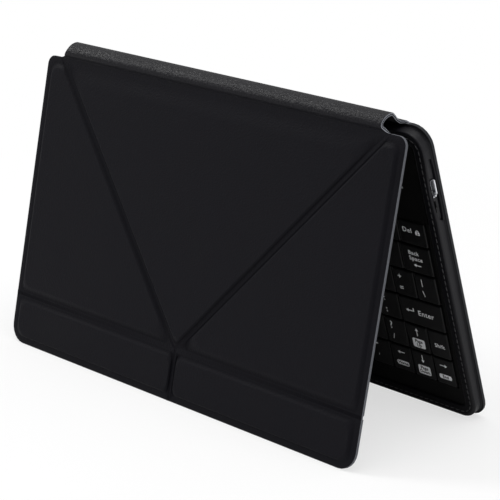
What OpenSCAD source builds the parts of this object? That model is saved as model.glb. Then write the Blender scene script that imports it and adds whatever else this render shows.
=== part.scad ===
// Tablet keyboard case, a folding cover with a slim keyboard, standing up as a tent.
// X runs along the spine, Y from the front cover to the keyboard, Z up from the table.
// The origin is at the middle of the footprint, on the table. All sizes are millimetres.

/* [Case] */
// Width of the case along its spine
case_w = 220; // [214:1:240]
// Height of the front cover, from its foot to the spine crease
cover_h = 136; // [130:1:146]
// Height of the back cover above the foot of the tray
back_h = 140.5; // [138:0.5:150]
// Radius of the outer corners
corner_r = 8.4; // [6:0.2:10]
// Lean of the front cover from upright, in degrees
cover_lean = 11.8; // [9:0.1:15]
// Lean of the keyboard half from upright, in degrees
back_lean = 18.1; // [15:0.1:22]

/* [Cover sheets] */
// Thickness of the outer leather
skin_t = 0.8; // [0.6:0.1:1]
// Thickness of the stiffening boards
board_t = 0.8; // [0.6:0.1:1]
// Thickness of the inner lining
lining_t = 0.6; // [0.4:0.1:0.8]
// Width of the flat lip around the boards
lip_w = 3; // [2.6:0.1:4]
// Width of the pressed channel along a fold
channel_w = 3.3; // [3:0.1:4.5]
// Width of the pressed channel between the two foot panels
foot_channel_w = 4.4; // [4:0.1:6]
// Height of the foot panels, from the bottom edge to the cross fold
foot_h = 23; // [18:0.5:28]
// Distance from a fold's axis to the sheet that turns about it
fold_gap = 0.8; // [0.8:0.1:1]
// Magnet strips in the foot panels and the tray: length, distance from the middle
magnet_l = 20; // [10:1:30]
magnet_x = 60; // [40:1:80]

/* [Spine] */
// Width of the spine strip
spine_w = 194; // [180:1:200]
// Distance between the two spine creases, along Y
spine_gap = 13; // [12:0.1:15]
// Height of the crest above the higher of the two creases
crest_up = 4.7; // [4:0.1:7]
// Distance from the front crease back to the crest
crest_in = 4.9; // [4:0.1:6]
// How far forward the strip is pulled as it leaves the front crease
spine_bulge = 3; // [2:0.1:3.4]

/* [Tray] */
// Depth of the tray from its face to the back cover's lining
tray_d = 4.5; // [4.5:0.1:6]
// Width of the back cover left bare beside the tray
tray_inset = 1; // [1:0.1:2]
// Gap between the top of the tray and the spine crease
tray_top_gap = 1.3; // [1.2:0.1:2.5]
// How far the back cover reaches below the foot of the tray
back_drop = 1; // [0:0.1:1.2]
// Width of the leather border around the keyboard
border_w = 5.4; // [5:0.1:6]
// Thickness of the leather wrapped around the tray's core
wrap_t = 0.6; // [0.4:0.1:0.8]
// Thickness of the tray's floor
floor_t = 0.4; // [0.3:0.1:0.5]
// Side window: distance from the top of the tray, length, slant of its lower end
window_down = 11.9; // [11:0.1:13]
window_l = 29.6; // [28:0.1:30]
window_slant = 3; // [0:0.1:4]
// Leather left above the side window
window_strip_t = 0.45; // [0.4:0.05:0.5]

/* [Keyboard] */
// Gap between the keyboard and the tray's border
case_gap = 0.3; // [0.2:0.05:0.4]
// Thickness of the keyboard's bottom case
base_t = 0.6; // [0.5:0.1:0.7]
// Thickness of the case walls
wall_t = 1; // [0.8:0.1:1.2]
// Thickness of the deck around the keys
deck_t = 0.8; // [0.6:0.1:1]
// Step from the tray's face down to the deck, and down to the bar above the keys
deck_drop = 0.8; // [0.6:0.1:1]
bar_drop = 0.2; // [0.1:0.1:0.4]
// Thickness of the bar's roof
bar_t = 0.5; // [0.4:0.1:0.6]

/* [Keys] */
// Margin beside the keys, from the edge of the case
key_margin = 9; // [8.4:0.1:10]
// Shares of the keyboard's depth: the strip in front of the keys, and the keys
front_share = 0.067; // [0.065:0.0005:0.075]
keys_share = 0.643; // [0.62:0.001:0.645]
// Depth of the function row, as a share of another row
top_row_share = 0.868; // [0.8:0.002:0.9]
// Letter keys that would fill a row; the next widths are shares of a letter key
keys_per_row = 13.03; // [12.9:0.01:13.2]
// Narrow keys, and the last key of the two lowest rows
narrow_share = 0.787; // [0.75:0.001:0.8]
end_share = 0.7226; // [0.7:0.0002:0.75]
// Enter, Backspace and Delete
enter_share = 1.561; // [1.4:0.001:1.6]
backspace_share = 1.077; // [1:0.001:1.15]
delete_share = 0.974; // [0.9:0.001:1.1]
// Gap between neighbouring keycaps
key_gap = 0.7; // [0.5:0.05:0.9]
// Height of a keycap, and how far it goes down
cap_h = 1.9; // [1.8:0.05:1.9]
key_travel = 1; // [0.8:0.05:1]
// Width of the post under a key, and its clearance in the cap's socket
post_w = 3; // [2:0.1:4]
guide_gap = 0.2; // [0.15:0.05:0.3]

/* [Controls and port] */
// Charging socket: distance from the top of the tray, how far its mouth is inside the
// tray's wall, width, height
port_down = 25; // [23:0.1:26]
port_in = 0.2; // [0:0.1:1]
port_w = 7.5; // [7:0.1:8]
port_h = 2.5; // [2.2:0.1:2.5]
// Power slider: distance from the top of the tray, travel
slider_down = 33.9; // [33:0.1:34.5]
slider_travel = 2.5; // [1.5:0.1:3]
// Pair button: distance from the top of the tray, distance from the keyboard's end, radius
button_down = 26.9; // [24:0.1:29]
button_in = 33.3; // [30:0.1:40]
button_r = 2.5; // [2:0.1:3]
// Lamps: number, spacing, distance from the keyboard's end to the first
lamp_count = 3; // [1:1:4]
lamp_pitch = 6; // [5:0.5:7]
lamp_in = 10.5; // [9:0.1:13]

/* [Hidden] */

$fn = 48;
tiny = 0.01;

leather = [0.13, 0.13, 0.14];
lining_black = [0.08, 0.08, 0.09];
board_grey = [0.45, 0.43, 0.4];
plastic = [0.07, 0.07, 0.075];
steel = [0.78, 0.78, 0.8];

// Heights in a cover panel, counted from its lining's face.
stack_t = lining_t + board_t + skin_t;
fold_z = lining_t + skin_t / 2;
edge_r = skin_t / 2 - 0.05;
wall_skin = 0.5;
field_r = 2;

// Where the fold lines of the front cover meet its top edge, clear of its round corners.
fold_x = case_w / 2 - corner_r - 1.5 * fold_gap;

// The spine creases in the Y-Z plane, with the front cover's foot at Y = 0.
front_up = [sin(cover_lean), cos(cover_lean)];
front_out = [-cos(cover_lean), sin(cover_lean)];
back_up = [-sin(back_lean), cos(back_lean)];
back_out = [cos(back_lean), sin(back_lean)];
back_depth = tray_d + fold_z;
front_crease = cover_h * front_up + fold_z * front_out;
back_crease_z = (back_h * back_up + back_depth * back_out)[1];
back_crease = [front_crease[0] + spine_gap, back_crease_z];
back_foot = back_crease - back_h * back_up - back_depth * back_out;

// The footprint's middle: from the front cover's raised boards to the back cover's edge.
front_edge = (lip_w * front_up + stack_t * front_out)[0];
half_t = tray_d + stack_t;
back_edge = (back_foot + (lip_w - back_drop) * back_up + half_t * back_out)[0];
lip_edge = (back_foot - back_drop * back_up + (tray_d + lining_t + skin_t) * back_out)[0];
shift_y = -(front_edge + max(back_edge, lip_edge)) / 2;

// Heights in the keyboard half, counted from the outside of the back cover.
tray_z = stack_t;
base_z = tray_z + floor_t;
sheet_z = base_z + base_t;
membrane_t = 0.2;
dome_sheet_t = 0.3;
post_z = sheet_z + membrane_t + dome_sheet_t;
cap_z = half_t - cap_h;
post_top = cap_z + 0.4;
cap_roof = 0.35;
deck_z = half_t - deck_drop - deck_t;
bar_z = half_t - bar_drop;
roof_z = bar_z - bar_t;

// Outlines in the keyboard half.
tray_w = case_w - 2 * tray_inset;
tray_h = back_h - tray_top_gap;
unit_w = tray_w - 2 * border_w - 2 * case_gap;
unit_s = border_w + case_gap;
unit_h = tray_h - 2 * unit_s;
unit_top = unit_s + unit_h;
keys_w = case_w - 2 * key_margin;
keys_s = unit_s + unit_h * front_share;
keys_h = unit_h * keys_share;
row_pitch = keys_h / (5 + top_row_share);
top_row_d = row_pitch * top_row_share;
letter_w = keys_w / keys_per_row;
narrow_w = letter_w * narrow_share;
end_w = letter_w * end_share;
well_gap = 0.25;
bar_s = keys_s + keys_h + well_gap;

// Parts in the bar above the keys, placed from the top and the end of the keyboard.
port_s = tray_h - port_down;
slider_s = tray_h - slider_down;
button_s = tray_h - button_down;
button_x = unit_w / 2 - button_in;
lamp_x = unit_w / 2 - lamp_in;
board_s = bar_s + wall_t + 3;
board_top = unit_top - wall_t - 6;
board_x = unit_w / 2 - 45;
pcb_t = 0.8;
port_z = sheet_z + 0.1;
port_wall = 0.35;
port_depth = 8;
port_x = tray_w / 2 - port_in;
slider_w = 2.6;
slider_h = 0.8;
slider_z = sheet_z + pcb_t + 0.25;
lamp_r = 0.75;

// The side window reaches from the tray's floor to the leather under the tray's face.
window_s = tray_h - window_down - window_l;
window_r = 1;
window_top = half_t - window_strip_t;

// The keyboard's end plate fills the window, a step inside the tray's wall.
plate_gap = 0.2;
plate_x = tray_w / 2 - 1.2;

// Screws from below into bosses under the deck.
screw_r = 0.6;
screw_head_r = 1.3;
screw_head_h = 0.35;
boss_r = 1.8;
screw_low_s = (unit_s + keys_s) / 2;
screw_high_s = unit_top - 3;
screw_spots = [
    for (part = [-0.46, -0.17, 0.17, 0.46]) [part * unit_w, screw_low_s],
    for (part = [-0.435, -0.145, 0.145, 0.435]) [part * unit_w, screw_high_s]
];

// ---- Outlines made of straight edges and round corners ----

function unit(v) = v / norm(v);
function left_of(v) = [-v[1], v[0]];
function cross_of(a, b) = a[0] * b[1] - a[1] * b[0];

// The point where a line through p along u meets a line through q along v.
function meet(p, u, q, v) = p + u * cross_of(q - p, v) / cross_of(u, v);

// A convex outline with edge i moved in by gaps[i].
function inset(points, gaps) = [
    for (i = [0 : len(points) - 1])
        let (
            n = len(points),
            before = points[(i + n - 1) % n],
            here = points[i],
            after = points[(i + 1) % n],
            u = unit(here - before),
            v = unit(after - here)
        )
        meet(here + left_of(u) * gaps[(i + n - 1) % n], u, here + left_of(v) * gaps[i], v)
];

// A convex outline with corner i rounded to radii[i].
function rounded(points, radii) = [
    for (i = [0 : len(points) - 1])
        let (
            n = len(points),
            here = points[i],
            u = unit(here - points[(i + n - 1) % n]),
            v = unit(points[(i + 1) % n] - here),
            turn = acos(u * v),
            start = here - u * radii[i] * tan(turn / 2),
            middle = start + left_of(u) * radii[i],
            steps = radii[i] > 0 ? max(2, ceil(turn / 11)) : 0,
            from = atan2(-left_of(u)[1], -left_of(u)[0])
        )
        for (k = [0 : steps])
            middle + radii[i] * [cos(from + turn * k / max(1, steps)),
                                 sin(from + turn * k / max(1, steps))]
];

function box_outline(x0, y0, x1, y1) = [[x0, y0], [x1, y0], [x1, y1], [x0, y1]];

// ---- Frames of the two halves ----

// The front cover: X along the spine, Y up the cover, Z from its lining to its leather.
module on_cover() {
    translate([0, shift_y, 0])
        rotate([90 - cover_lean, 0, 0])
            children();
}

// The keyboard half: X along the spine, Y up the tray, Z from the cover to the keys.
module on_back() {
    translate([0, shift_y + back_foot[0], 0])
        rotate([90 + back_lean, 0, 0])
            translate([0, 0, -half_t])
                children();
}

// ---- Cover panels: leather outside, a board in it, lining inside ----

// Panel data: outline, corner radii, how far its sheets are cut back from each edge,
// how far its raised field is, and its folds' round edges as pairs of points.
function panel_points(p) = p[0];
function panel_radii(p) = p[1];
function panel_cuts(p) = p[2];
function panel_margins(p) = p[3];
function panel_edges(p) = p[4];

// The first and last points of a fold's round edge, short of its two ends.
function fold_edge(p, q, start, stop) = [p + unit(q - p) * start, q - unit(q - p) * stop];

apex = [0, foot_h];
half_w = case_w / 2;
half_channel = channel_w / 2;
apex_clear = 4;

centre_panel = [
    [apex, [fold_x, cover_h], [-fold_x, cover_h]],
    [0, 0, 0],
    [0, fold_gap, 0],
    [half_channel, lip_w, half_channel],
    [fold_edge(apex, [fold_x, cover_h], apex_clear, 3),
     fold_edge(apex, [-fold_x, cover_h], apex_clear, 3)]
];

wing_panel = [
    [apex, [half_w, foot_h], [half_w, cover_h], [fold_x, cover_h]],
    [0, 0, corner_r, 0],
    [0, 0, 0, fold_gap],
    [half_channel, lip_w, lip_w, half_channel],
    [fold_edge(apex, [half_w, foot_h], apex_clear, 1)]
];

foot_panel = [
    box_outline(0, 0, half_w, foot_h),
    [0, corner_r, 0, 0],
    [0, 0, fold_gap, fold_gap],
    [lip_w, lip_w, half_channel, foot_channel_w / 2],
    []
];

back_panel = [
    box_outline(-half_w, -back_drop, half_w, back_h),
    [corner_r, corner_r, corner_r, corner_r],
    [0, 0, 0, 0],
    [lip_w, lip_w, lip_w, lip_w],
    []
];

// The radii of a field or board: tighter than the sheet's corners, and field_r elsewhere.
function inner_radii(p, gap) = [
    for (r = panel_radii(p)) r > 0 ? max(1, r - gap - 1.5) : field_r
];

module sheet_outline(p) {
    polygon(rounded(inset(panel_points(p), panel_cuts(p)), panel_radii(p)));
}

module field_outline(p) {
    polygon(rounded(inset(panel_points(p), panel_margins(p)), inner_radii(p, lip_w)));
}

module board_outline(p) {
    gaps = [for (m = panel_margins(p)) m + wall_skin];
    polygon(rounded(inset(panel_points(p), gaps), inner_radii(p, lip_w + wall_skin)));
}

// A round edge of leather centred on a fold's axis.
module round_edge(ends) {
    along = ends[1] - ends[0];
    translate([ends[0][0], ends[0][1], fold_z])
        rotate([0, 90, atan2(along[1], along[0])])
            cylinder(r = edge_r, h = norm(along));
}

module panel_skin(p) {
    difference() {
        union() {
            translate([0, 0, lining_t]) linear_extrude(skin_t) sheet_outline(p);
            translate([0, 0, lining_t]) linear_extrude(board_t + skin_t) field_outline(p);
            for (ends = panel_edges(p)) round_edge(ends);
        }
        translate([0, 0, lining_t - tiny]) linear_extrude(board_t + tiny) board_outline(p);
    }
}

module panel_board(p) {
    translate([0, 0, lining_t]) linear_extrude(board_t) board_outline(p);
}

// The lining also stops short of the folds that carry a round edge.
module panel_lining(p, cuts) {
    linear_extrude(lining_t)
        polygon(rounded(inset(panel_points(p), cuts), panel_radii(p)));
}

module mirrored(left) {
    if (left) mirror([1, 0, 0]) children();
    else children();
}

module centre_skin() {
    color(leather) on_cover() panel_skin(centre_panel);
}

module centre_board() {
    color(board_grey) on_cover() panel_board(centre_panel);
}

module centre_lining() {
    color(lining_black) on_cover() panel_lining(centre_panel, [fold_gap, fold_gap, fold_gap]);
}

module wing_skin(left) {
    color(leather) on_cover() mirrored(left) panel_skin(wing_panel);
}

module wing_board(left) {
    color(board_grey) on_cover() mirrored(left) panel_board(wing_panel);
}

module wing_lining(left) {
    color(lining_black)
        on_cover() mirrored(left) panel_lining(wing_panel, [fold_gap, 0, 0, fold_gap]);
}

module foot_skin(left) {
    color(leather) on_cover() mirrored(left) panel_skin(foot_panel);
}

// The magnet strip fills a slot cut through the foot panel's board.
module foot_magnet_block() {
    magnet_h = 8;
    translate([magnet_x - magnet_l / 2, (foot_h - magnet_h) / 2, lining_t])
        cube([magnet_l, magnet_h, board_t]);
}

module foot_board(left) {
    color(board_grey)
        on_cover() mirrored(left) difference() {
            panel_board(foot_panel);
            foot_magnet_block();
        }
}

module foot_lining(left) {
    color(lining_black)
        on_cover() mirrored(left) panel_lining(foot_panel, panel_cuts(foot_panel));
}

module foot_magnet(left) {
    color(steel) on_cover() mirrored(left) foot_magnet_block();
}

// ---- Back cover ----

// The back cover is the same stack turned over, with its leather outside.
module turned_over() {
    translate([0, 0, stack_t]) mirror([0, 0, 1]) children();
}

module back_skin() {
    edge = [[-spine_w / 2 + 1, back_h], [spine_w / 2 - 1, back_h]];
    color(leather) on_back() turned_over() {
        panel_skin(back_panel);
        round_edge(edge);
    }
}

module back_board() {
    color(board_grey) on_back() turned_over() panel_board(back_panel);
}

module back_lining() {
    color(lining_black)
        on_back() turned_over() panel_lining(back_panel, [0, 0, fold_gap, 0]);
}

// ---- Spine strip: two curves from the front crease over the crest to the back crease ----

// The handles of the curves: how steeply the strip leaves the front crease, how late it
// turns level for the crest, and how flatly it runs down to the back crease.
front_pull = [-spine_bulge, 2.4];
crest_lead = crest_in - 0.4;
crest_run = 2.2;
back_pull = [-5.4, 0.5];

crest = [front_crease[0] + crest_in, max(front_crease[1], back_crease[1]) + crest_up];
front_curve = [front_crease, front_crease + front_pull, crest - [crest_lead, 0], crest];
back_curve = [crest, crest + [crest_run, 0], back_crease + back_pull, back_crease];

function curve_at(c, t) =
    pow(1 - t, 3) * c[0] + 3 * pow(1 - t, 2) * t * c[1]
    + 3 * (1 - t) * t * t * c[2] + pow(t, 3) * c[3];
function curve_along(c, t) = unit(
    pow(1 - t, 2) * (c[1] - c[0]) + 2 * (1 - t) * t * (c[2] - c[1]) + t * t * (c[3] - c[2]));

curve_steps = 8;
stop_cut = 1 - fold_gap / (3 * norm(back_curve[3] - back_curve[2]));

// The strip's middle line moved to its left by side, from step first to the back crease.
function spine_line(side, first) = [
    for (k = [first : curve_steps])
        let (t = k / curve_steps)
        curve_at(front_curve, t) + left_of(curve_along(front_curve, t)) * side,
    for (k = [1 : curve_steps])
        let (t = stop_cut * k / curve_steps)
        curve_at(back_curve, t) + left_of(curve_along(back_curve, t)) * side
];

function reversed(v) = [for (i = [len(v) - 1 : -1 : 0]) v[i]];

// Turns a Y-Z outline to run along X.
module along_x(length) {
    translate([-length / 2, shift_y, 0])
        rotate([90, 0, 90])
            linear_extrude(length)
                children();
}

module spine_skin() {
    half = skin_t / 2;
    color(leather) {
        along_x(spine_w)
            polygon(concat(reversed(spine_line(half, 0)), spine_line(-half, 0)));
        translate([-spine_w / 2 + 1, shift_y + front_crease[0], front_crease[1]])
            rotate([0, 90, 0])
                cylinder(r = edge_r, h = spine_w - 2);
    }
}

// The lining starts one step later than the leather, clear of the front crease.
module spine_lining() {
    near = -skin_t / 2;
    far = near - lining_t;
    color(lining_black)
        along_x(spine_w)
            polygon(concat(reversed(spine_line(near, 1)), spine_line(far, 1)));
}

// ---- Tray: a stiff frame wrapped in leather, with a window in its right wall ----

module tray_shape(gap) {
    outline = box_outline(-tray_w / 2 + gap, gap, tray_w / 2 - gap, tray_h - gap);
    r = corner_r - gap;
    polygon(rounded(outline, [r, r, r, r]));
}

// The border's ring with its outer and inner edges both moved in by gap.
module tray_ring(gap) {
    difference() {
        tray_shape(gap);
        tray_shape(border_w - gap);
    }
}

// Outline of the side window as seen from the side, moved in by gap.
module window_outline(gap) {
    end = window_s + window_l;
    corners = [[window_s, base_z], [end, base_z], [end, window_top],
               [window_s + window_slant, window_top]];
    r = window_r - gap;
    polygon(rounded(inset(corners, [gap, gap, gap, gap]), [r, r, r, r]));
}

// Turns an outline seen from the side to run from one X to another.
module across(from, to) {
    translate([from, 0, 0])
        rotate([90, 0, 90])
            linear_extrude(to - from)
                children();
}

module side_window(grow) {
    across(tray_w / 2 - border_w - 1, tray_w / 2 + 1) window_outline(-grow);
}

module tray_magnet_blocks() {
    for (x = [-magnet_x, magnet_x])
        translate([x - magnet_l / 2, wrap_t + 0.4, base_z + 0.4])
            cube([magnet_l, border_w - 2 * wrap_t - 0.8, tray_d - floor_t - wrap_t - 0.8]);
}

module core_shape() {
    difference() {
        translate([0, 0, base_z])
            linear_extrude(half_t - wrap_t - base_z)
                tray_ring(wrap_t);
        side_window(wrap_t);
    }
}

module tray_wrap() {
    color(leather) on_back() difference() {
        translate([0, 0, tray_z]) linear_extrude(tray_d) tray_shape(0);
        translate([0, 0, base_z]) linear_extrude(tray_d) tray_shape(border_w);
        side_window(0);
        core_shape();
    }
}

module tray_core() {
    color(board_grey) on_back() difference() {
        core_shape();
        tray_magnet_blocks();
    }
}

module tray_magnets() {
    color(steel) on_back() tray_magnet_blocks();
}

module tray_stitching() {
    stitch_in = 2.3;
    thread_w = 0.5;
    thread_h = 0.1;
    color([0.2, 0.2, 0.21]) on_back() translate([0, 0, half_t]) linear_extrude(thread_h)
        difference() {
            tray_shape(stitch_in);
            tray_shape(stitch_in + thread_w);
        }
}

// ---- Keyboard unit ----

module unit_shape(gap) {
    outline = box_outline(-unit_w / 2 + gap, unit_s + gap, unit_w / 2 - gap,
                          unit_s + unit_h - gap);
    r = corner_r - border_w - case_gap - gap;
    polygon(rounded(outline, [for (i = [1 : 4]) max(1, r)]));
}

// Openings through the end plate for the charging socket and the power slider.
module side_openings() {
    clearance = 0.1;
    start = unit_w / 2 - wall_t - 1;
    reach = plate_x + 1 - start;
    translate([start, port_s - port_w / 2 - clearance, port_z - clearance])
        cube([reach, port_w + 2 * clearance, port_h + 2 * clearance]);
    slot = slider_w + slider_travel + 2 * guide_gap;
    translate([start, slider_s - slot / 2, slider_z - guide_gap])
        cube([reach, slot, slider_h + 2 * guide_gap]);
}

module case_base() {
    color(plastic) on_back() difference() {
        union() {
            translate([0, 0, base_z]) linear_extrude(deck_z - base_z) unit_shape(0);
            across(unit_w / 2, plate_x) window_outline(plate_gap);
        }
        translate([0, 0, sheet_z]) linear_extrude(deck_z) unit_shape(wall_t);
        side_openings();
        for (p = screw_spots) translate([p[0], p[1], base_z]) {
            translate([0, 0, -1]) cylinder(r = screw_r + 0.1, h = 1 + base_t + tiny);
            translate([0, 0, -1]) cylinder(r = screw_head_r, h = 1 + screw_head_h);
        }
    }
}

module case_screws() {
    color(steel) on_back() for (p = screw_spots) translate([p[0], p[1], base_z]) {
        cylinder(r = screw_head_r, h = screw_head_h);
        cylinder(r = screw_r, h = deck_z - base_z - 0.3);
    }
}

module key_frame() {
    well_x = keys_w / 2 + well_gap;
    roof_cut = 2;
    color(plastic) on_back() difference() {
        union() {
            translate([0, 0, deck_z]) linear_extrude(deck_t) unit_shape(0);
            translate([0, 0, deck_z]) linear_extrude(bar_z - deck_z) intersection() {
                unit_shape(0);
                translate([-unit_w, bar_s]) square([2 * unit_w, unit_h]);
            }
            for (p = screw_spots) translate([p[0], p[1], sheet_z])
                cylinder(r = boss_r, h = deck_z + tiny - sheet_z);
        }
        translate([-well_x, keys_s - well_gap, deck_z - 1])
            cube([2 * well_x, keys_h + 2 * well_gap, deck_t + 2]);
        difference() {
            translate([0, 0, deck_z - tiny]) linear_extrude(roof_z - deck_z + tiny)
                intersection() {
                    unit_shape(wall_t);
                    translate([-unit_w, bar_s + wall_t]) square([2 * unit_w, unit_h]);
                }
            for (p = screw_spots) translate([p[0], p[1], sheet_z])
                cylinder(r = boss_r, h = roof_z);
        }
        for (p = screw_spots) translate([p[0], p[1], sheet_z - tiny])
            cylinder(r = screw_r, h = deck_z - 0.3 - sheet_z + tiny);
        side_openings();
        for (i = [0 : lamp_count - 1]) translate([lamp_x - i * lamp_pitch, button_s, roof_z - 1])
            cylinder(r = lamp_r, h = bar_t + roof_cut);
        translate([button_x, button_s, roof_z - 1])
            cylinder(r = button_r + guide_gap, h = bar_t + roof_cut);
    }
}

module membrane_sheet() {
    margin = 1;
    color([0.75, 0.78, 0.72]) on_back()
        translate([-keys_w / 2 - margin, keys_s - margin, sheet_z])
            cube([keys_w + 2 * margin, keys_h + 2 * margin, membrane_t]);
}

// ---- Keys ----

function sum(v, count) = count > 0 ? v[count - 1] + sum(v, count - 1) : 0;
function repeat(n, w) = [for (i = [1 : n]) w];

// Puts a first key before the others, as wide as what they leave of the row.
function fill(others) = concat([keys_w - sum(others, len(others))], others);

// The bottom row's space bar takes what the keys on either side of it leave.
space_left = [narrow_w, letter_w, narrow_w, narrow_w];
space_right = concat(repeat(5, narrow_w), [end_w]);
space_w = keys_w - sum(space_left, len(space_left)) - sum(space_right, len(space_right));

// Key widths of the six rows, from the left, with the bottom row first.
rows = [
    concat(space_left, [space_w], space_right),
    fill(concat(repeat(7, letter_w), repeat(4, narrow_w), [end_w])),
    fill(concat(repeat(9, letter_w), [narrow_w, letter_w * enter_share])),
    fill(concat(repeat(10, letter_w), repeat(2, narrow_w))),
    fill(concat(repeat(10, letter_w), [narrow_w, letter_w * backspace_share])),
    concat(repeat(13, (keys_w - letter_w * delete_share) / 13), [letter_w * delete_share])
];

function row_d(r) = r < 5 ? row_pitch : top_row_d;
function key_x(r, i) = -keys_w / 2 + sum(rows[r], i) + rows[r][i] / 2;
function key_s(r) = keys_s + r * row_pitch + row_d(r) / 2;

// A wide key has three posts under it, any other has one.
wide_key = 30;
function post_spots(w) = w > wide_key ? [-w / 3, 0, w / 3] : [0];

module centred_block(w, d, h) {
    translate([-w / 2, -d / 2, 0]) cube([w, d, h]);
}

// Side view of a keycap: upright walls under a bevelled upper edge.
module cap_profile(w) {
    bevel_h = 0.45;
    bevel_in = 0.4;
    half = w / 2;
    polygon([[-half, 0], [half, 0], [half, cap_h - bevel_h], [half - bevel_in, cap_h],
             [bevel_in - half, cap_h], [-half, cap_h - bevel_h]]);
}

// The cap is what its front view and its side view have in common, so its bevels are mitred.
module cap(w, d) {
    intersection() {
        translate([0, d / 2, 0]) rotate([90, 0, 0]) linear_extrude(d) cap_profile(w);
        translate([-w / 2, 0, 0]) rotate([90, 0, 90]) linear_extrude(w) cap_profile(d);
    }
}

module key(r, i) {
    w = rows[r][i] - key_gap;
    d = row_d(r) - key_gap;
    socket_w = post_w + 2 * guide_gap;
    on_back() translate([key_x(r, i), key_s(r), cap_z]) difference() {
        cap(w, d);
        for (x = post_spots(w)) translate([x, 0, -tiny])
            centred_block(socket_w, socket_w, cap_h - cap_roof + tiny);
    }
}

module keys(r, list) {
    color(plastic) for (i = list) key(r, i);
}

module dome_sheet() {
    margin = 0.5;
    color([0.3, 0.3, 0.32]) on_back() {
        translate([-keys_w / 2 - margin, keys_s - margin, post_z - dome_sheet_t])
            cube([keys_w + 2 * margin, keys_h + 2 * margin, dome_sheet_t]);
        for (r = [0 : len(rows) - 1]) for (i = [0 : len(rows[r]) - 1])
            for (x = post_spots(rows[r][i] - key_gap))
                translate([key_x(r, i) + x, key_s(r), post_z - tiny])
                    centred_block(post_w, post_w, post_top - post_z + tiny);
    }
}

// ---- Electronics, port and controls ----

// Outline of the charging socket: flat on the key side, with cut corners on the other.
module port_outline(gap) {
    w = port_w / 2 - gap;
    top = port_h - gap;
    cut_w = 0.85;
    cut_h = 0.9;
    polygon([[-w, cut_h], [cut_w - w, gap], [w - cut_w, gap], [w, cut_h], [w, top], [-w, top]]);
}

module on_port() {
    translate([port_x, port_s, port_z])
        rotate([90, 0, 90])
            translate([0, 0, -port_depth])
                children();
}

module usb_shell() {
    color(steel) on_back() on_port() difference() {
        linear_extrude(port_depth) port_outline(0);
        translate([0, 0, port_wall]) linear_extrude(port_depth) port_outline(port_wall);
    }
}

module usb_tongue() {
    tongue_w = port_w - 2.6;
    color(plastic) on_back() on_port()
        translate([-tongue_w / 2, port_h / 2 + 0.1, port_wall])
            cube([tongue_w, 0.6, port_depth - 1.5]);
}

module circuit_board() {
    notch = 0.15;
    board_end = unit_w / 2 - wall_t - 0.3;
    chip_z = sheet_z + pcb_t - tiny;
    chip_w = 9;
    chip_in = 4;
    button_switch_w = 4;
    button_switch_top = deck_z - 0.65;
    power_switch = [2.8, 7, deck_z - 0.15 - chip_z];
    lamp_body = [1.6, 0.8, 0.6];
    color([0.1, 0.32, 0.2]) on_back() {
        difference() {
            translate([board_x, board_s, sheet_z])
                cube([board_end - board_x, board_top - board_s, pcb_t]);
            translate([port_x - port_depth - notch, port_s - port_w / 2 - notch, sheet_z - 1])
                cube([port_depth, port_w + 2 * notch, pcb_t + 2]);
        }
        translate([board_x + chip_in, board_top - chip_in - chip_w, chip_z])
            cube([chip_w, chip_w, 1]);
        translate([button_x, button_s, chip_z])
            centred_block(button_switch_w, button_switch_w, button_switch_top - chip_z);
        translate([board_end - power_switch[0] - 0.2, slider_s - power_switch[1] / 2, chip_z])
            cube(power_switch);
        for (i = [0 : lamp_count - 1])
            translate([lamp_x - i * lamp_pitch, button_s, chip_z])
                centred_block(lamp_body[0], lamp_body[1], lamp_body[2]);
    }
}

module battery() {
    length = unit_w * 0.46;
    gap = 1;
    pouch_r = 1.5;
    outline = box_outline(-length, board_s + gap, 0, board_top - gap);
    color([0.62, 0.64, 0.68]) on_back()
        translate([length * 0.28, 0, sheet_z])
            linear_extrude(roof_z - sheet_z - 0.15)
                polygon(rounded(outline, [pouch_r, pouch_r, pouch_r, pouch_r]));
}

module lamp_lenses() {
    color([0.9, 0.95, 1]) on_back()
        for (i = [0 : lamp_count - 1]) translate([lamp_x - i * lamp_pitch, button_s, roof_z])
            cylinder(r = lamp_r, h = bar_t + 0.05);
}

module grip_strip() {
    strip_w = 3;
    strip_h = 0.3;
    strip_down = 8;
    end_gap = 18;
    color([0.1, 0.1, 0.1]) on_back()
        translate([end_gap - unit_w / 2, unit_top - strip_down, bar_z])
            cube([unit_w - 2 * end_gap, strip_w, strip_h]);
}

// The slider starts at the low end of its slot and moves up the tray.
module power_slider() {
    inner_x = unit_w / 2 - wall_t - 0.3;
    outer_x = plate_x + 0.5;
    color(plastic) on_back()
        translate([inner_x, slider_s - (slider_w + slider_travel) / 2, slider_z])
            cube([outer_x - inner_x, slider_w, slider_h]);
}

module pair_button() {
    flange_r = button_r + 0.7;
    flange_t = 0.4;
    foot_z = roof_z - flange_t - 0.1;
    top_z = bar_z + 0.3;
    color(plastic) on_back() translate([button_x, button_s, foot_z]) {
        cylinder(r = button_r, h = top_z - foot_z);
        cylinder(r = flange_r, h = flange_t);
    }
}

back_skin();
back_board();
back_lining();
tray_wrap();
tray_core();
tray_magnets();
tray_stitching();
case_base();
key_frame();
membrane_sheet();
dome_sheet();
circuit_board();
battery();
usb_shell();
usb_tongue();
lamp_lenses();
grip_strip();
case_screws();
power_slider();
pair_button();
spine_skin();
spine_lining();
centre_skin();
centre_board();
centre_lining();
wing_skin(true);  // wing_left_skin
wing_board(true);  // wing_left_board
wing_lining(true);  // wing_left_lining
wing_skin(false);  // wing_right_skin
wing_board(false);  // wing_right_board
wing_lining(false);  // wing_right_lining
foot_skin(true);  // foot_left_skin
foot_board(true);  // foot_left_board
foot_lining(true);  // foot_left_lining
foot_magnet(true);  // foot_left_magnet
foot_skin(false);  // foot_right_skin
foot_board(false);  // foot_right_board
foot_lining(false);  // foot_right_lining
foot_magnet(false);  // foot_right_magnet
keys(5, [0 : 12]);  // keys_function
keys(5, [13]);  // key_delete
keys(4, [0 : 11]);  // keys_number
keys(4, [12]);  // key_backspace
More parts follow.
